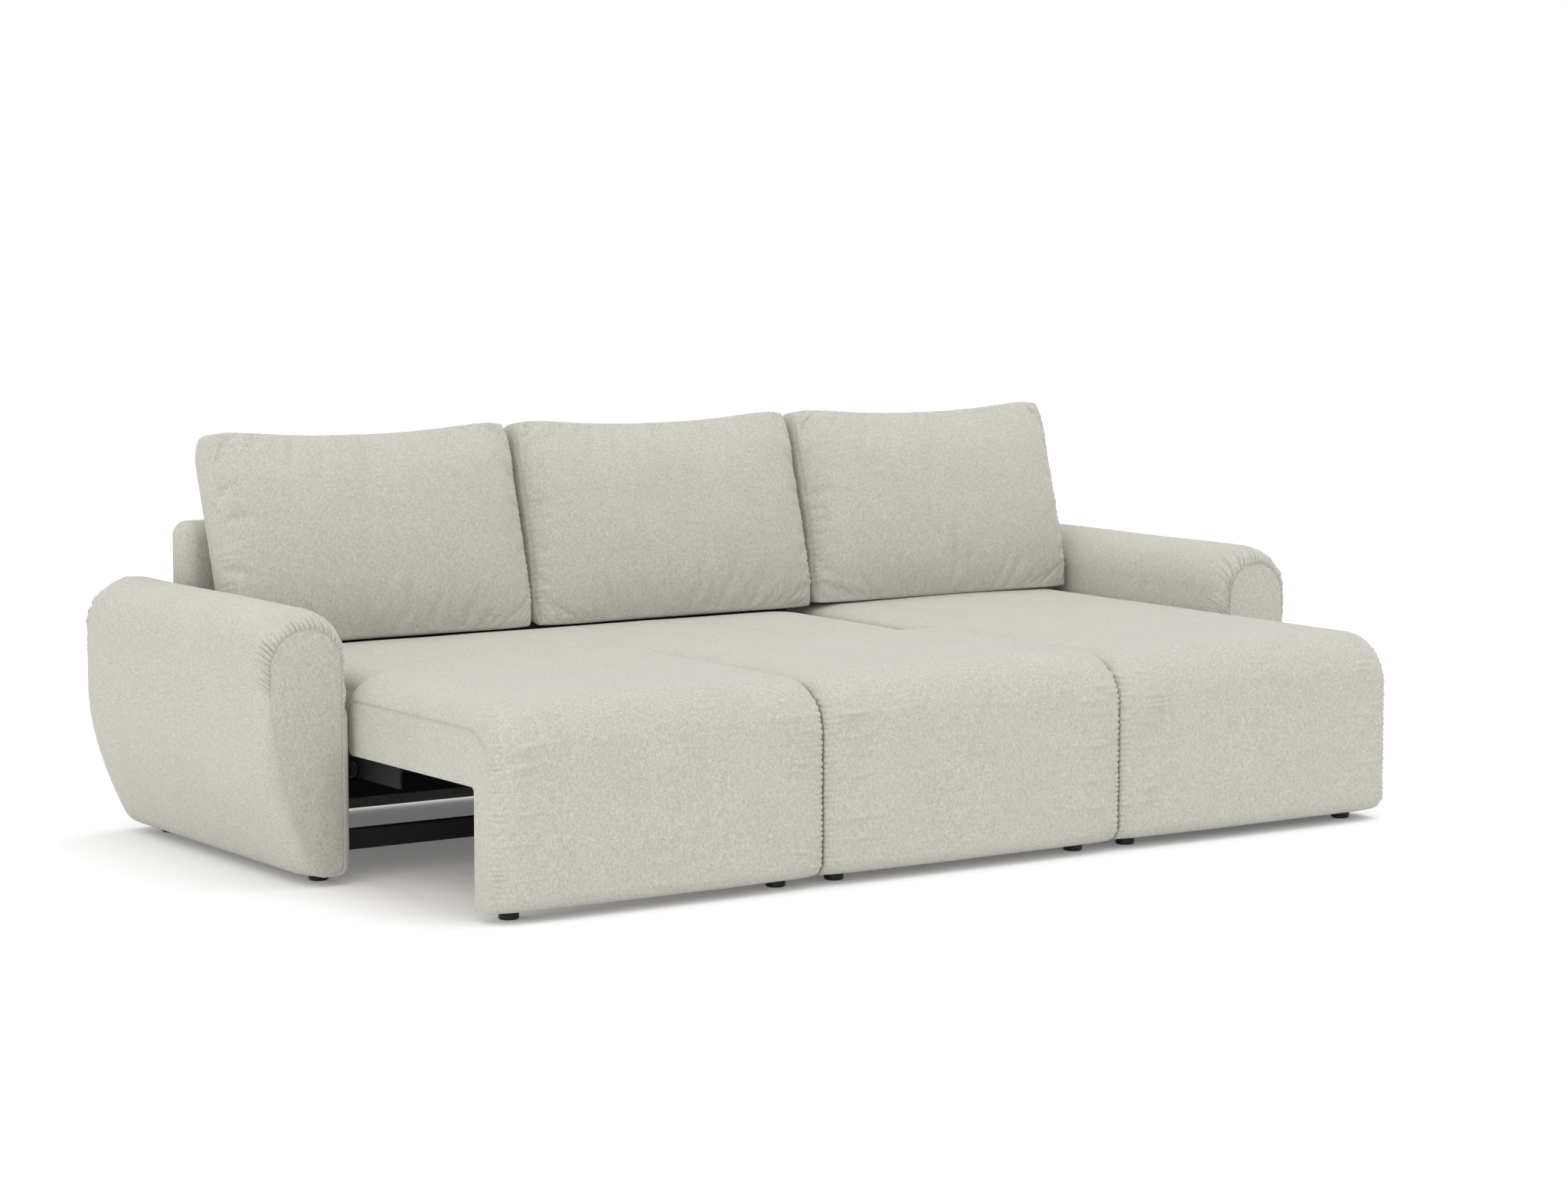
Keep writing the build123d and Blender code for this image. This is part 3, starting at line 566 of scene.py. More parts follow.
def module_cover(name, node, body, under, rear_radius, open_below, seed, rolls, seamed):
    """A waterfall cover whose side seams are ruched on the front, under a soft crown."""
    low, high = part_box(node)
    centre, half = (low.x + high.x) / 2, (high.x - low.x) / 2
    panel_rear = low.y + panel_thickness
    rear = high.y + (rear_fullness if open_below else 0.0)
    wrap = fabric_thickness if open_below else 0.0
    under, hem = under - wrap, low.z - wrap
    offsets = side_stations(half)

    def step_at(spots):
        at_front = (spots[:, 0] < low.y + fine_reach) & (spots[:, 1] < high.z - fine_drop)
        return np.where(at_front, front_step, plain_step)

    shares, outer, inner = None, [], []
    for offset in offsets:
        distance = half - abs(offset)
        fall, setback = rolls[0 if offset < 0 else 1]
        roll = 1 - math.sqrt(1 - (1 - min(distance / side_roll, 1)) ** 2)
        slack = (1 - distance / half) ** 2
        top = high.z - fall * roll - crown_fall * slack
        front = low.y + setback * roll + front_bow * slack
        corners = [(rear - rear_start, under), (rear, under), (rear, top), (front, top), (front, hem)]
        radii = [lower_radius, rear_radius, front_radius, hem_radius]
        if open_below:
            corners += [(panel_rear + wrap, hem), (panel_rear + wrap, hem + rear_start)]
            radii += [lower_radius]
            inset = lining_inset * min(distance / lining_slope, 1)
            turning = (panel_rear - inset, under + inset)
            lining = rounded_path([corners[0], turning, corners[-1]], [lower_radius])
            bend = (corners[0][0] - panel_rear) / lengths_along(lining)[-1]
        else:
            corners += [(panel_rear, hem)]
            lining = np.array([corners[0], corners[-1]])
            bend = chaise_lining_bend
        path = rounded_path(corners, radii)
        if shares is None:
            shares = shares_for(path, step_at)
        spots = along(path, shares)
        over_panel = int(np.argmax(spots[:, 0] < panel_rear))
        lining_shares = np.interp(np.arange(len(shares)), [0, over_panel, len(shares) - 1], [0, bend, 1])
        inside = along(lining, lining_shares)
        outer.append(np.column_stack([np.full(len(spots), centre + offset), spots]))
        inner.append(np.column_stack([np.full(len(inside), centre + offset), inside]))
    outer, inner = np.array(outer), np.array(inner)
    normal = grid_normals(outer)
    depth, run = outer[:, :, 1], outer[:, :, 2]
    ruched = share_of(low.y + ruche_zone - depth, ruche_fade) * share_of(run - low.z, hem_fade)
    draw = np.random.default_rng(seed)
    swell = cover_unevenness * ripple(outer, unevenness_size, seed) * share_of(rear - depth, rear_calm)
    for sign in (-1, 1):
        away = (half - sign * offsets)[:, None]
        folds = gathers(run, away, (low.z + ruche_ends[0], high.z - ruche_ends[1]), ruche_pitch, ruche_length,
                        ruche_height, seed + sign)
        swell += ruched * (folds - ruche_draw * eased(1 - away / ruche_draw_span))
        heights = np.concatenate([draw.uniform(*band) for band in wrinkle_bands])
        ranges = (wrinkle_starts, wrinkle_lengths, wrinkle_widths, wrinkle_heights)
        loose = [(spot, *[draw.uniform(*span) for span in ranges]) for spot in heights]
        waved = run + wrinkle_wave * away * np.sin(wrinkle_wave_rate * away)
        swell += ruched * wrinkle_height(waved, away, loose)
    lift = normal * swell[:, :, None]
    lift[:, :, 0] *= ruche_side_give
    outer = outer + lift
    level = share_of(outer[:, :, 1] - low.y - side_seam_setback, side_seam_fade)
    level *= share_of(outer[:, :, 2] - high.z + side_seam_reach, side_seam_foot)
    for sign, seam in zip((1, -1), seamed):
        above = outer[:, :, 2] - outer[0 if sign > 0 else -1, :, 2]
        groove = side_seam_depth * bell(above, side_seam_width)
        groove -= side_welt_height * bell(above - side_welt_rise, side_welt_width)
        outer[:, :, 0] += seam * sign * level * groove * (sign * offsets < 0)[:, None]
    inner[:, 0], inner[:, -1] = outer[:, 0], outer[:, -1]
    piece = slab_piece(name, outer, inner, [upright_weave])
    stands_for(piece, node, body)


for side, seed, rolls, seamed in (("left", 11, (free_roll, meeting_roll), (1, 0)),
                                  ("right", 23, (meeting_roll, meeting_roll), (0, 0))):
    module_cover("seat-cushion-" + side, "seat_cover_" + side, "seat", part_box("seat_deck_" + side)[0].z,
                 seat_rear_radius, True, seed, rolls, seamed)

# Raised pad: a foam slab in the same cover over its board, crowned on top and soft at the edges.
# It lies low under the closed seats, and stands level with them when they are pulled out.
level_weave = upholstery("greige_weave_level", slub=(340.0, 150.0, 340.0), cross=(150.0, 340.0, 340.0))


def ringed_piece(name, rings, materials, panels=0):
    """A closed skin over rings of points with a pole at each end, where the last finish is on the panels."""
    count = rings[0].shape[0]
    points = [point for ring in rings for point in ring]
    faces = tube_faces(len(rings), count)
    finishes = []
    for ring in range(len(rings) - 1):
        on_panel = ring < panels or ring >= len(rings) - 1 - panels
        finishes += [len(materials) - 1 if on_panel else 0] * count
    for ring, base in ((rings[0], 0), (rings[-1], (len(rings) - 1) * count)):
        pole = len(points)
        points.append(ring.mean(axis=0))
        faces += [(base + i, base + (i + 1) % count, pole) for i in range(count)]
        finishes += [len(materials) - 1 if panels else 0] * count
    return mesh_piece(name, points, faces, materials, finishes)


def rectangle(x0, y0, x1, y1, radius):
    """A closed path round a rectangle with round corners."""
    return rounded_path([(x0, y0), (x1, y0), (x1, y1), (x0, y1)], [radius] * 4, closed=True)


def pad_piece():
    """Rounded slab whose outline draws in over a round edge and a low crown."""
    side_height, side_bow, edge_span, corner = 0.084, 0.008, 0.060, 0.055
    bottom_draws, top_draws, corner_limit = np.linspace(0.28, 0.012, 9), np.linspace(0.085, 0.29, 12), 0.9
    around, seed = 361, 31
    low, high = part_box("rear_pad_cover")
    rise = high.z - low.z - side_height
    centre = (low + high) / 2
    half_x, half_y = (high.x - low.x) / 2, (high.y - low.y) / 2
    rows = [(draw, 0.0) for draw in bottom_draws]
    rows += [(side_bow * (2 * share - 1) ** 2, share * side_height) for share in np.linspace(0, 1, 11)]
    for turn in np.linspace(0.1, math.pi / 2, 13):
        rows.append((side_bow + edge_span * (1 - math.cos(turn)), side_height + rise * math.sin(turn)))
    rows += [(draw, side_height + rise) for draw in top_draws]
    shares, rings = np.linspace(0, 1, around)[:-1], []
    for draw, height in rows:
        reach_x, reach_y = half_x - draw, half_y - draw
        radius = min(corner, reach_y * corner_limit)
        ring = along(rectangle(-reach_x, -reach_y, reach_x, reach_y, radius), shares)
        rings.append(np.column_stack([ring[:, 0] + centre.x, ring[:, 1] + centre.y,
                                      np.full(len(ring), low.z + height - fabric_thickness)]))
    rings = np.array(rings)
    upper = share_of(rings[:, :, 2] - low.z, side_height)
    rings[:, :, 2] += upper * (cover_unevenness * ripple(rings, unevenness_size, seed) - cover_unevenness / 2)
    piece = ringed_piece("bed-pad", list(rings), [level_weave])
    stands_for(piece, "rear_pad_cover", "rear_pad")


pad_piece()

# Chaise: the third module, one long upholstered block over a box of boards.
# Its front and its ruched seams match the seats, and its rear end runs up to the back.
chaise_roll = (0.038, 0.024)
module_cover("chaise-cushion", "chaise_cover", "base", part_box("chaise_cover")[0].z, lower_radius, False, 44,
             (meeting_roll, chaise_roll), (0, 1))

# Base cloth: thin black spun cloth, cut to the box of the chaise and stretched under its boards.
# A row of black staples along each edge holds it, and it sags a little between the boards.
base_cloth = grained_finish("black_base_cloth", dark=(0.010, 0.010, 0.010), light=(0.020, 0.020, 0.021),
                            grain=1500.0, roughness=0.95, bump=0.6)


def staple_group():
    """One flat staple crown on each point, turned as the point says."""
    group, given = new_group("staples", "GeometryNodeTree",
                             {"Geometry": "Geometry", "Crown": "Vector", "Material": "Material"},
                             {"Geometry": "Geometry"})
    crown = put(group, "GeometryNodeMeshCube", {"Size": given["Crown"]})
    turn = put(group, "GeometryNodeInputNamedAttribute", {"Name": "turn"}, data_type="FLOAT")
    spin = put(group, "ShaderNodeCombineXYZ", {"Z": turn["Attribute"]})
    facing = put(group, "FunctionNodeEulerToRotation", {"Euler": spin["Vector"]})
    spread_on_points(group, given, crown["Mesh"], {"Rotation": facing["Rotation"]})
    return group


def double_sheet(columns, rows):
    """Quads of two like grids of points, one facing the other way, and the grid places round their rim."""
    stride, second = rows + 1, (columns + 1) * (rows + 1)
    faces = []
    for i in range(columns):
        for j in range(rows):
            quad = (i * stride + j, (i + 1) * stride + j, (i + 1) * stride + j + 1, i * stride + j + 1)
            faces.append(quad)
            faces.append(tuple(second + k for k in reversed(quad)))
    rim = [(i, 0) for i in range(columns)] + [(columns, j) for j in range(rows)]
    rim += [(columns - i, rows) for i in range(columns)] + [(0, rows - j) for j in range(rows)]
    return faces, rim


def base_cloth_piece():
    """A thin sheet that sags between its boards, closed at the edges, with its staples."""
    sag, thickness, gap = 0.004, 0.0008, 0.0002
    staple_crown, staple_pitch, staple_margin = (0.010, 0.0012, 0.0009), 0.045, 0.012
    columns, rows = 40, 64
    low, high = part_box("chaise_base_cloth")
    x, y = np.meshgrid(np.linspace(low.x, high.x, columns + 1), np.linspace(low.y, high.y, rows + 1),
                       indexing="ij")
    a = 2 * (x - low.x) / (high.x - low.x) - 1
    b = 2 * (y - low.y) / (high.y - low.y) - 1
    upper = np.stack([x, y, high.z - gap - sag * (1 - a ** 2) * (1 - b ** 4)], axis=-1).reshape(-1, 3)
    faces, rim = double_sheet(columns, rows)
    edge = [i * (rows + 1) + j for i, j in rim]
    for k, m in zip(edge, edge[1:] + edge[:1]):
        faces.append((k, len(upper) + k, len(upper) + m, m))
    points = np.concatenate([upper, upper - (0, 0, thickness)])
    piece = mesh_piece("base-cloth-sheet", points, faces, [base_cloth])
    under = high.z - gap - thickness
    ends_x = (low.x + staple_margin, high.x - staple_margin)
    ends_y = (low.y + staple_margin, high.y - staple_margin)
    along_x = np.linspace(*ends_x, int((ends_x[1] - ends_x[0]) / staple_pitch))
    along_y = np.linspace(*ends_y, int((ends_y[1] - ends_y[0]) / staple_pitch))[1:-1]
    spots = [(x, y, under) for y in ends_y for x in along_x]
    spots += [(x, y, under) for x in ends_x for y in along_y]
    source = bpy.data.meshes.new("staple_points")
    source.from_pydata(spots, [], [])
    turn = source.attributes.new("turn", "FLOAT", "POINT")
    turn.data.foreach_set("value", [0.0] * (2 * len(along_x)) + [math.pi / 2] * (2 * len(along_y)))
    staples = made_by_nodes("base-cloth-staples", source, staple_group(), {
        "Crown": staple_crown, "Material": powder_coat})
    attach(staples, "base")
    stands_for(piece, "chaise_base_cloth", "base")


base_cloth_piece()

# Arms: thick padded arms over a board, each cover gathered round an arched panel at both ends.
# The fabric is cut with its nap along the arm, so its slubs run from front to back.
arm_weave = upholstery("greige_weave_along", slub=(380.0, 110.0, 380.0), cross=(380.0, 380.0, 180.0),
                       lay=(0.3, 0.0, 0.0))
arm_end_roll, arm_inner_roll = 0.074, 0.010
arm_seam_drop = 0.040
arm_seam_draw = (0.016, 0.020)
arm_soft_corner = 0.020
soft_corner_top, soft_corner_height, soft_corner_start, soft_corner_width = 0.43, 0.20, 0.05, 0.06
tight_top, tight_height, tight_width = 0.42, 0.06, 0.03
sewn_start, sewn_height, sewn_width = 0.39, 0.08, 0.02
arm_taper = 0.5
arm_side_height, arm_side_radius = 0.205, 0.70
arm_hem_radius, arm_inner_hem_radius = 0.048, 0.018
arm_rolls = (0.105, 0.095)
arm_inner_face = 0.06
arm_unevenness, arm_unevenness_size, arm_hem_calm = 0.0015, 0.32, 0.04
arm_belly, belly_height, belly_span, belly_start, belly_calm = 0.007, 0.28, 0.12, 0.12, 0.05
arm_fine_step, arm_plain_step = 0.0015, 0.010
panel_heart = np.array([0.085, 0.32])
panel_shares = (0.03, 0.12, 0.25, 0.4, 0.55, 0.68, 0.79, 0.87, 0.92, 0.95, 0.97, 0.983, 0.993)
panel_crown, panel_seam_depth, panel_seam_width = 0.006, 0.0020, 0.016
gather_pitch, gather_height, gather_length = 0.0118, 0.0084, 0.060
gather_ends, gather_end_fade, gather_margin = (0.388, 0.425), 0.02, 0.01
gather_sink, gather_sink_length, gather_start = 0.5, 1.2, 0.004


def arm_piece(side, sign, front_reach, arch_rise, seed):
    """One arm: a run between two rolled ends, with gathers over the arch and a set-in panel at each end."""
    fine_turn, run_count = 0.4, 60
    low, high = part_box("arm_cover_" + side)
    width, inner_x = high.x - low.x, low.x if sign > 0 else high.x
    length = high.y - low.y + front_reach

    def section(draw):
        inner, outer = draw * arm_seam_draw[0], width - draw * arm_seam_draw[1]
        top = high.z + arch_rise - draw * arm_seam_drop
        bottom = outer - arm_taper * (arm_side_height - low.z)
        hem = low.z - fabric_thickness
        return rounded_path(
            [(inner, hem), (bottom, hem), (outer, arm_side_height), (outer, top), (inner, top)],
            [arm_inner_hem_radius, arm_hem_radius, arm_side_radius, arm_rolls[0] - width + outer,
             arm_rolls[1] - inner], closed=True)

    shares = shares_for(section(0.0), lambda spots: np.where(
        spots[:, 1] > gather_ends[0] - gather_margin, arm_fine_step, arm_plain_step))[:-1]
    plain, seam = along(section(0.0), shares), along(section(1.0), shares)
    x, z = plain[:, 0], plain[:, 1]
    below_corner = eased((soft_corner_top - z) / soft_corner_height)
    seam[:, 0] -= arm_soft_corner * below_corner * eased((x - soft_corner_start) / soft_corner_width)
    tight = eased((tight_top - z) / tight_height) * eased((arm_inner_face - x) / tight_width)
    reach = arm_end_roll + (arm_inner_roll - arm_end_roll) * tight
    sewn = np.maximum(eased((z - sewn_start) / sewn_height), eased((arm_inner_face - x) / sewn_width))
    rings = []
    for share in panel_shares:
        spots = panel_heart + (seam - panel_heart) * share
        crown = panel_crown * (1 - share ** 2) - panel_seam_depth * sewn * bell(share - 1, panel_seam_width)
        rings.append(np.column_stack([spots[:, 0], -crown, spots[:, 1]]))
    for turn in np.concatenate([np.linspace(0, fine_turn, 9), np.linspace(fine_turn, math.pi / 2, 22)[1:]]):
        spots = plain + (seam - plain) * (1 - math.sin(turn))
        rings.append(np.column_stack([spots[:, 0], reach * (1 - math.cos(turn)), spots[:, 1]]))
    front_rings = np.array(rings)
    rear_rings = front_rings[::-1].copy()
    rear_rings[:, :, 1] = length - rear_rings[:, :, 1]
    run_rings = [np.column_stack([x, np.full(len(x), spot), z])
                 for spot in np.linspace(arm_end_roll, length - arm_end_roll, run_count)[1:-1]]
    rings = np.concatenate([front_rings, np.array(run_rings), rear_rings])
    wrapped = np.concatenate([rings[:, -1:], rings, rings[:, :1]], axis=1)
    normal = -grid_normals(wrapped)[:, 1:-1]
    steps = np.linalg.norm(np.diff(rings, axis=0), axis=2)
    surface = np.concatenate([np.zeros((1, len(x))), np.cumsum(steps, axis=0)])
    first, last = len(panel_shares), len(rings) - 1 - len(panel_shares)
    from_front, from_rear = surface - surface[first], surface[last] - surface
    run = lengths_along(plain)
    above_ends = z - np.where(x < arm_inner_face, *gather_ends)
    arch = run[above_ends > 0]
    swell = arm_unevenness * ripple(rings, arm_unevenness_size, seed) * eased((z - low.z) / arm_hem_calm)
    swell += arm_belly * bell(z - belly_height, belly_span) * (x > belly_start)
    swell *= eased(np.minimum(from_front, from_rear) / belly_calm)
    for near, number in ((from_front, 2), (from_rear, 9)):
        near = np.maximum(near, 0)
        ridges = gathers(run, near, (arch.min(), arch.max()), gather_pitch, gather_length, gather_height,
                         seed + number)
        sink = gather_sink * gather_height * eased(1 - near / (gather_sink_length * gather_length))
        swell += eased(above_ends / gather_end_fade) * np.sqrt(share_of(near, gather_start)) * (ridges - sink)
    rings = rings + normal * swell[:, :, None]
    rings[:, :, 0] = inner_x + sign * rings[:, :, 0]
    rings[:, :, 1] += low.y - front_reach
    piece = ringed_piece("arm-cushion-" + side, list(rings), [arm_weave, upright_weave],
                         panels=len(panel_shares))
    stands_for(piece, "arm_cover_" + side, "base")


arm_piece("left", -1, front_reach=0.006, arch_rise=0.008, seed=61)
arm_piece("right", 1, front_reach=-0.005, arch_rise=0.003, seed=71)


# Back: a low padded panel over a frame, bolted between the arms, with soft edges all round.
# The ledge in front of it, which carries two of the cushions, is a board wrapped in black cloth; the black
# also serves as painted shade for the dark gap behind the pad, under the cushions.
def soft_slab(name, node, low, high, edge, uneven, material, slot, fill):
    """Slab with rounded edges, slightly uneven, in place of a node."""
    end_shares, least_radius, wave_size, seed = (0.86, 0.6, 0.27), 0.05, 0.35, 83
    run_count, around = 90, 181
    length = high.x - low.x
    spare = min(high.y - low.y, high.z - low.z) / 2 - edge
    stations = [(0.0, edge + spare * share) for share in end_shares]
    for turn in np.linspace(0, math.pi / 2, 9):
        stations.append((edge * (1 - math.cos(turn)), edge * (1 - math.sin(turn))))
    far_end = [(length - spot, draw) for spot, draw in reversed(stations)]
    stations += [(spot, 0.0) for spot in np.linspace(edge, length - edge, run_count)[1:-1]] + far_end
    shares, rings = np.linspace(0, 1, around)[:-1], []
    for spot, draw in stations:
        radius = max(edge - draw, edge * least_radius)
        ring = along(rectangle(low.y + draw, low.z + draw, high.y - draw, high.z - draw, radius), shares)
        rings.append(np.column_stack([np.full(len(ring), low.x + spot), ring]))
    rings = np.array(rings)
    rings[:, :, 1] += uneven * ripple(rings, wave_size, seed)
    piece = ringed_piece(name, list(rings), [material])
    stands_for(piece, node, "base")


back_low, back_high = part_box("back_cover")
back_hem_drop = Vector((0.0, 0.0, 0.010))
soft_slab("back-panel", "back_cover", back_low - back_hem_drop, back_high, edge=0.034, uneven=0.0012,
          material=upright_weave, slot="cover_fabric", fill=0.9)
# The ledge is a real board, and its black cloth is also painted shade for the gap under the cushions.
soft_slab("cushion-ledge-black-shade", "cushion_ledge", *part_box("cushion_ledge"), edge=0.004, uneven=0.0,
          material=base_cloth, slot="base_cloth", fill=1.0)

# Back cushions: loose boxed cushions of soft fill that lean on the back, over the ledge, pad and chaise.
# Pressure swells their faces, their edges draw in between the corners, and the seams pucker.
cushion_lean = math.radians(19.0)
cushion_height, cushion_tuck = 0.472, 0.045
cushion_edge, cushion_edge_taper, cushion_foot_draw = 0.106, 0.014, 0.015
cushion_crown, cushion_back_edge = 0.044, 0.016
cushion_corner, cushion_waist, cushion_dip = 0.016, 0.008, 0.028
cushion_back_draw, cushion_top_draw = 0.010, 0.004
cushion_fall = 0.0025
cushion_shift, cushion_spread = 0.0055, 0.0015
strip_bulge = 0.007
rest_gap, rest_depth = 0.0006, 0.012
ledge_edge_gap, ledge_edge_width = 0.004, 0.008
fill_pressure, fill_limit, fill_frames = 4.0, 0.025, 20
seam_shrink, seam_shrink_width, seam_hold = 0.035, 0.012, 0.7
seam_groove, seam_groove_width, seam_sink, seam_sink_width = 0.0024, 0.0035, 0.0012, 0.02
pucker_pitch, pucker_foot, pucker_foot_fade = 0.015, 0.004, 0.02
side_pucker_length, side_pucker_height, side_pucker_ends = 0.036, 0.0034, (0.06, 0.03)
top_pucker_length, top_pucker_height, top_pucker_end = 0.020, 0.0014, 0.03


def filled(piece, held, sewn):
    """Lets pressure swell a sewn cover that is held in places, and draws in its seams."""
    groups = []
    for name, weights in (("held", held), ("sewn", sewn)):
        group = piece.vertex_groups.new(name=name)
        for index in np.nonzero(weights > 0.01)[0]:
            group.add([int(index)], float(weights[index]), "REPLACE")
        groups.append(group)
    cloth = piece.modifiers.new("fill", "CLOTH")
    settings = cloth.settings
    settings.quality = 6
    settings.mass = 0.25
    settings.tension_stiffness = 14.0
    settings.compression_stiffness = 14.0
    settings.shear_stiffness = 4.0
    settings.bending_stiffness = 0.05
    settings.use_pressure = True
    settings.uniform_pressure_force = fill_pressure
    settings.vertex_group_mass = "held"
    settings.vertex_group_shrink = "sewn"
    settings.shrink_min = -seam_shrink
    settings.shrink_max = 0.0
    settings.effector_weights.gravity = 0.0
    cloth.collision_settings.use_collision = False
    cloth.point_cache.frame_end = fill_frames
    for moment in range(1, fill_frames + 1):
        bpy.context.scene.frame_set(moment)
    swollen = evaluated(piece).data
    before, after = np.empty((2, len(piece.data.vertices) * 3))
    piece.data.vertices.foreach_get("co", before)
    swollen.vertices.foreach_get("co", after)
    shift = (after - before).reshape(-1, 3)
    reach = np.linalg.norm(shift, axis=1, keepdims=True)
    shift *= fill_limit * np.tanh(reach / fill_limit) / np.maximum(reach, 1e-9)
    piece.modifiers.remove(cloth)
    for group in groups:
        piece.vertex_groups.remove(group)
    piece.data.vertices.foreach_set("co", before + shift.ravel())
    bpy.context.scene.frame_set(1)


def refined(piece):
    """Applies one subdivision to a piece."""
    smooth = piece.modifiers.new("round", "SUBSURF")
    smooth.levels = smooth.render_levels = 1
    mesh = bpy.data.meshes.new_from_object(evaluated(piece))
    piece.modifiers.remove(smooth)
    piece.data = mesh
    return mesh


def crowded_ends(count):
    """Places from -1 to 1 that stand closer towards both ends."""
    crowding = 0.8
    return np.sin(np.linspace(-1, 1, count + 1) * math.pi / 2 * crowding) / math.sin(math.pi / 2 * crowding)


def cushion_piece(side, seed, lowest):
    """One cushion: two crowned faces with a boxing strip between them."""
    columns, rows, strips = 96, 72, 8
    low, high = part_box("back_cushion_" + side)
    middle, half = (low.x + high.x) / 2 + cushion_shift, (high.x - low.x) / 2 + cushion_spread
    base, height = low.z, cushion_height + cushion_tuck
    back_y = back_low.y - (back_high.z - base) * math.tan(cushion_lean)

    def outline(a, b):
        pinch_x = cushion_corner * np.abs(b) ** 9 + cushion_waist * (1 - b ** 2) + cushion_top_draw * eased(b)
        dip = np.where(b > 0, cushion_dip, cushion_waist)
        pinch_up = cushion_corner * np.abs(a) ** 9 + dip * (1 - np.abs(a) ** 2.2)
        across = a * (half - pinch_x * np.abs(a))
        return across, b * (height / 2 - pinch_up * np.abs(b) ** 3) + height / 2 - cushion_tuck

    def place(x, up, forward):
        y = back_y + up * math.sin(cushion_lean) - forward * math.cos(cushion_lean)
        z = base + up * math.cos(cushion_lean) + forward * math.sin(cushion_lean)
        return np.stack([x + middle, y, z], axis=-1)

    a, b = np.meshgrid(crowded_ends(columns), crowded_ends(rows), indexing="ij")
    x, up = outline(a, b)
    upper_dome, lower_dome = (1 - np.abs(b) ** 2.2) ** 0.7, (1 - np.abs(b) ** 4) ** 0.55
    dome = (1 - np.abs(a) ** 3.4) ** 0.6 * np.where(b > 0, upper_dome, lower_dome)
    depth = cushion_edge + cushion_edge_taper * b - cushion_foot_draw * eased(-b)
    front = place(x, up, depth + cushion_crown * dome * (1 - 0.15 * b))
    rear = place(x * (1 - cushion_back_draw / half), up, cushion_back_edge * (1 - dome))
    faces, rim = double_sheet(columns, rows)
    edge = tuple(zip(*rim))
    second = a.size
    points = [front.reshape(-1, 3), rear.reshape(-1, 3)]
    marks = [np.column_stack([a.ravel(), b.ravel(), np.full(second, share)]) for share in (0.0, 1.0)]
    layers = [[i * (rows + 1) + j for i, j in rim]]
    for strip in range(1, strips):
        share = strip / strips
        bulge = strip_bulge * math.sin(math.pi * share)
        narrow = 1 - cushion_back_draw / half * share ** 2
        forward = depth[edge] + (cushion_back_edge - depth[edge]) * share
        beside, above = bulge * a[edge] ** 5, bulge * b[edge] ** 5
        points.append(place(x[edge] * narrow + beside, up[edge] + above, forward))
        marks.append(np.column_stack([a[edge], b[edge], np.full(len(rim), share)]))
        start = 2 * second + (strip - 1) * len(rim)
        layers.append(list(range(start, start + len(rim))))
    layers.append([second + k for k in layers[0]])
    for first, following in zip(layers, layers[1:]):
        for k in range(len(rim)):
            m = (k + 1) % len(rim)
            faces.append((first[k], following[k], following[m], first[m]))
    points, marks = np.concatenate(points), np.concatenate(marks)
    before_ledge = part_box("cushion_ledge")[0].y - ledge_edge_gap - points[:, 1]
    floor = base - (base - lowest) * share_of(before_ledge, ledge_edge_width)
    over = (points[:, 2] - floor) / cushion_fall
    points[:, 2] = floor + cushion_fall * np.where(over > 20, over, np.log1p(np.exp(np.minimum(over, 20))))
    piece = mesh_piece("loose-cushion-" + side, points, faces, [upright_weave])
    mark_names = ("across", "up", "strip")
    for number, name in enumerate(mark_names):
        kept = piece.data.attributes.new(name, "FLOAT", "POINT")
        kept.data.foreach_set("value", marks[:, number].astype(np.float32))
    on_back = (marks[:, 2] > 0.99) & (np.abs(marks[:, :2]).max(axis=1) < 0.9)
    resting = (points[:, 2] < floor + rest_depth) | on_back
    seam_gap = np.minimum(1 - np.abs(marks[:, 0]), 1 - np.abs(marks[:, 1])) * half
    filled(piece, np.maximum(resting, seam_hold * (seam_gap < 0.001)), bell(seam_gap, seam_shrink_width))
    mesh = refined(piece)
    count = len(mesh.vertices)
    spots, outward = np.empty((2, count * 3), np.float32)
    mesh.vertices.foreach_get("co", spots)
    mesh.vertex_normals.foreach_get("vector", outward)
    spots, outward = spots.reshape(-1, 3), outward.reshape(-1, 3)
    across, upward, strip = np.empty((3, count), np.float32)
    for name, values in zip(mark_names, (across, upward, strip)):
        mesh.attributes[name].data.foreach_get("value", values)
        mesh.attributes.remove(mesh.attributes[name])
    along_strip = strip * cushion_edge
    lower = np.clip(0.75 - 0.5 * upward, 0.25, 1.2)
    swell = np.zeros(count)
    seam = np.full(count, 1.0)
    side_span = (side_pucker_ends[0] - height / 2, height / 2 - side_pucker_ends[1])
    top_span = (top_pucker_end - half, half - top_pucker_end)
    for sign in (-1, 1):
        beside = (1 - sign * across) * half + along_strip
        above = (1 - sign * upward) * height / 2 + along_strip
        seam = np.minimum(seam, np.minimum(beside, above))
        swell += lower * gathers(upward * height / 2, beside, side_span, pucker_pitch, side_pucker_length,
                                 side_pucker_height, seed + sign)
        swell += gathers(across * half, above, top_span, pucker_pitch, top_pucker_length, top_pucker_height,
                         seed + 10 * sign)
    swell -= seam_groove * bell(seam, seam_groove_width) + seam_sink * bell(seam, seam_sink_width)
    swell *= (strip < 0.9) * share_of(spots[:, 2] - lowest - pucker_foot, pucker_foot_fade)
    mesh.vertices.foreach_set("co", (spots + outward * swell[:, None]).ravel())
    mesh.update()
    stands_for(piece, "back_cushion_" + side, "back_cushion_" + side)


pad_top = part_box("rear_pad_cover")[1].z
cushion_piece("left", 91, pad_top + rest_gap)
cushion_piece("middle", 95, pad_top + rest_gap)
cushion_piece("right", 99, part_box("back_cushion_right")[0].z)


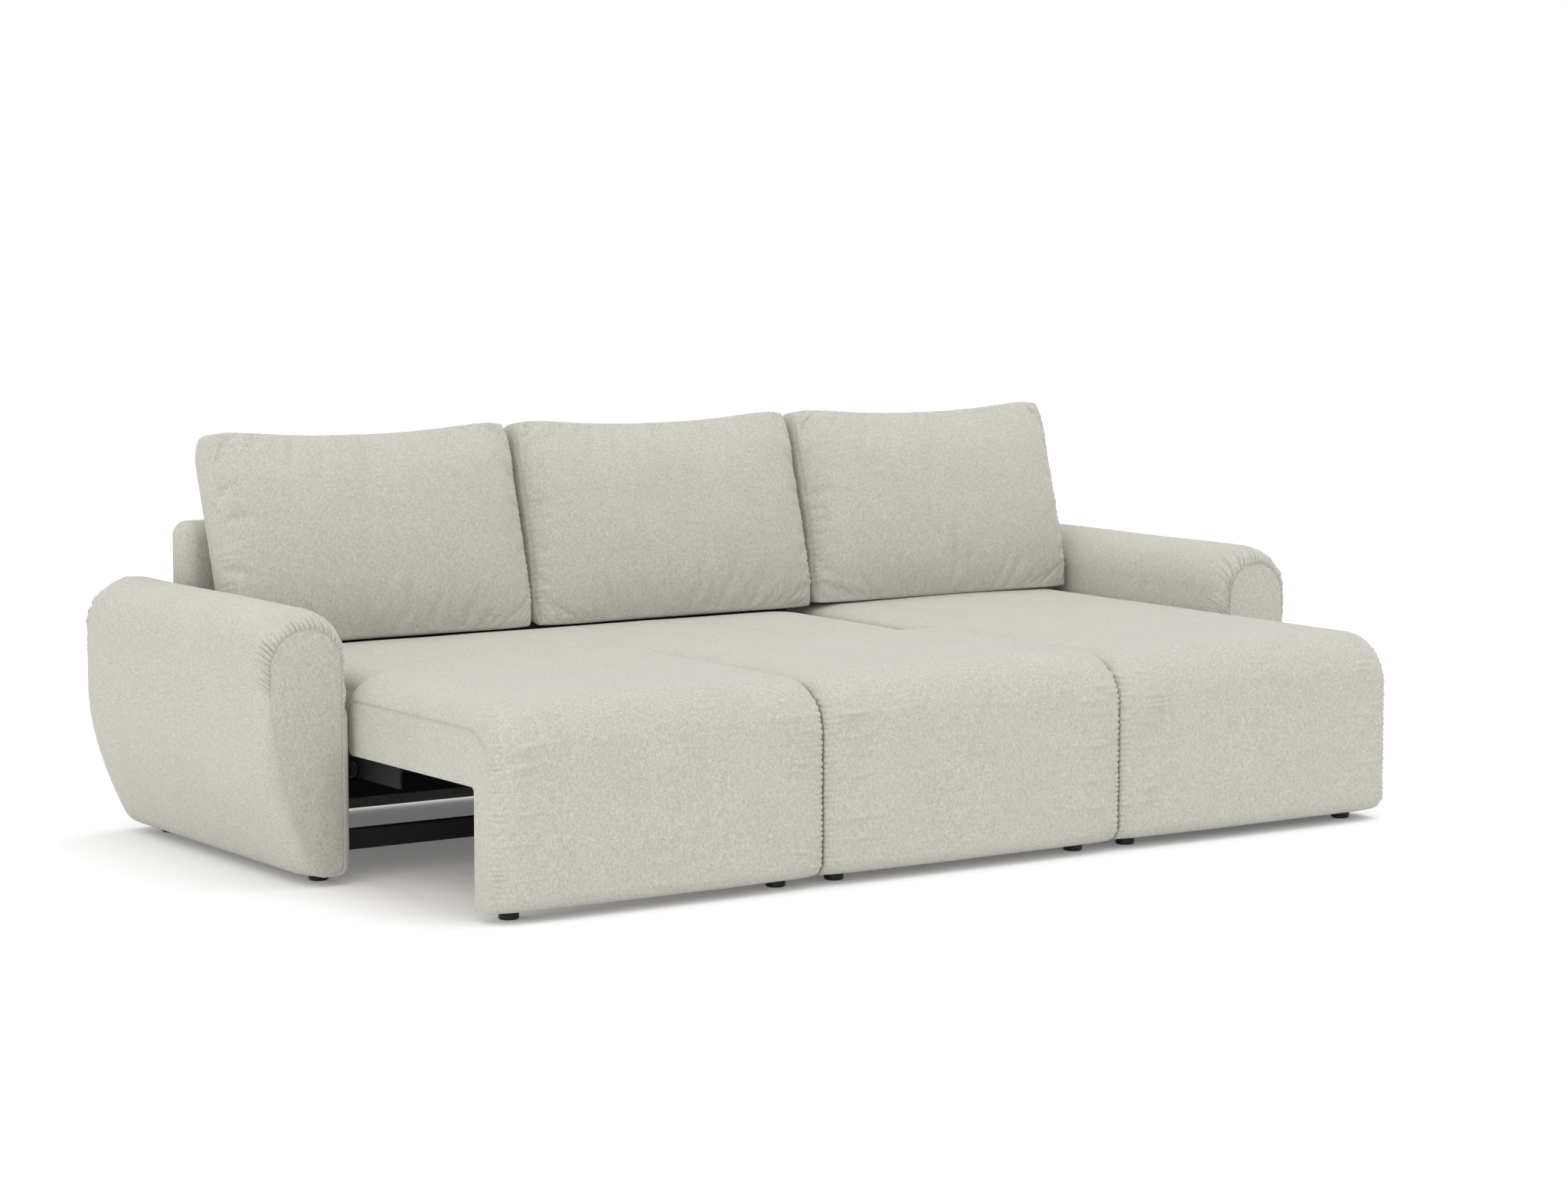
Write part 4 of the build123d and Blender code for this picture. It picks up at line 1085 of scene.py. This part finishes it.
# Stage: a wide pale floor, a white world and two broad lamps, one overhead and one from the front left.
# The camera stands at the photograph's viewing angle.
def seen_rays(tree):
    """1 for a ray that shows in the picture: straight, mirrored or let through."""
    rays = put(tree, "ShaderNodeLightPath")
    seen = rays["Is Camera Ray"]
    for name in ("Is Glossy Ray", "Is Transmission Ray"):
        seen = maths(tree, "MAXIMUM", seen, rays[name])
    return seen


def stage():
    """Floor, world, lamps and camera."""
    white, floor_tone, floor_glow, sky_light = (1.0, 1.0, 1.0, 1.0), (0.93, 0.93, 0.93, 1.0), 0.13, 0.75
    bpy.ops.mesh.primitive_plane_add(size=60.0, location=(0.0, 0.0, 0.0))
    floor = bpy.context.object
    floor.name = "floor"
    material, tree = new_finish("pale_floor")
    shaded(tree, {"Base Color": floor_tone, "Roughness": 0.9, "Specular IOR Level": 0.0,
                  "Emission Color": white,
                  "Emission Strength": maths(tree, "MULTIPLY", seen_rays(tree), floor_glow)})
    floor.data.materials.append(material)

    world = bpy.data.worlds.new("studio")
    bpy.context.scene.world = world
    world.use_nodes = True
    tree = world.node_tree
    tree.nodes.clear()
    sky = put(tree, "ShaderNodeBackground", {"Color": white, "Strength": sky_light})
    backdrop = put(tree, "ShaderNodeBackground", {"Color": white, "Strength": 1.0})
    choice = put(tree, "ShaderNodeMixShader", {
        "Fac": seen_rays(tree), 1: sky["Background"], 2: backdrop["Background"]})
    put(tree, "ShaderNodeOutputWorld", {"Surface": choice["Shader"]})

    for name, strength, spread, aim in (("overhead", 0.80, 50.0, (-0.35, 0.10, -1.0)),
                                        ("fill", 0.92, 80.0, (0.84, 0.42, -0.48))):
        lamp = bpy.data.lights.new(name, "SUN")
        lamp.energy = strength
        lamp.angle = math.radians(spread)
        source = placed(name, lamp)
        source.rotation_euler = Vector(aim).to_track_quat("-Z", "Y").to_euler()
        source.location = (0.0, 0.0, 5.0)

    camera = bpy.data.cameras.new("camera")
    camera.sensor_width = 36.0
    camera.lens = 87.178
    viewer = placed("camera", camera)
    viewer.location = (-4.8910, -7.2810, 1.4678)
    viewer.rotation_euler = (math.radians(83.8884), 0.0, math.radians(-33.8981))
    bpy.context.scene.camera = viewer
    bpy.context.scene.view_settings.view_transform = "Standard"


stage()
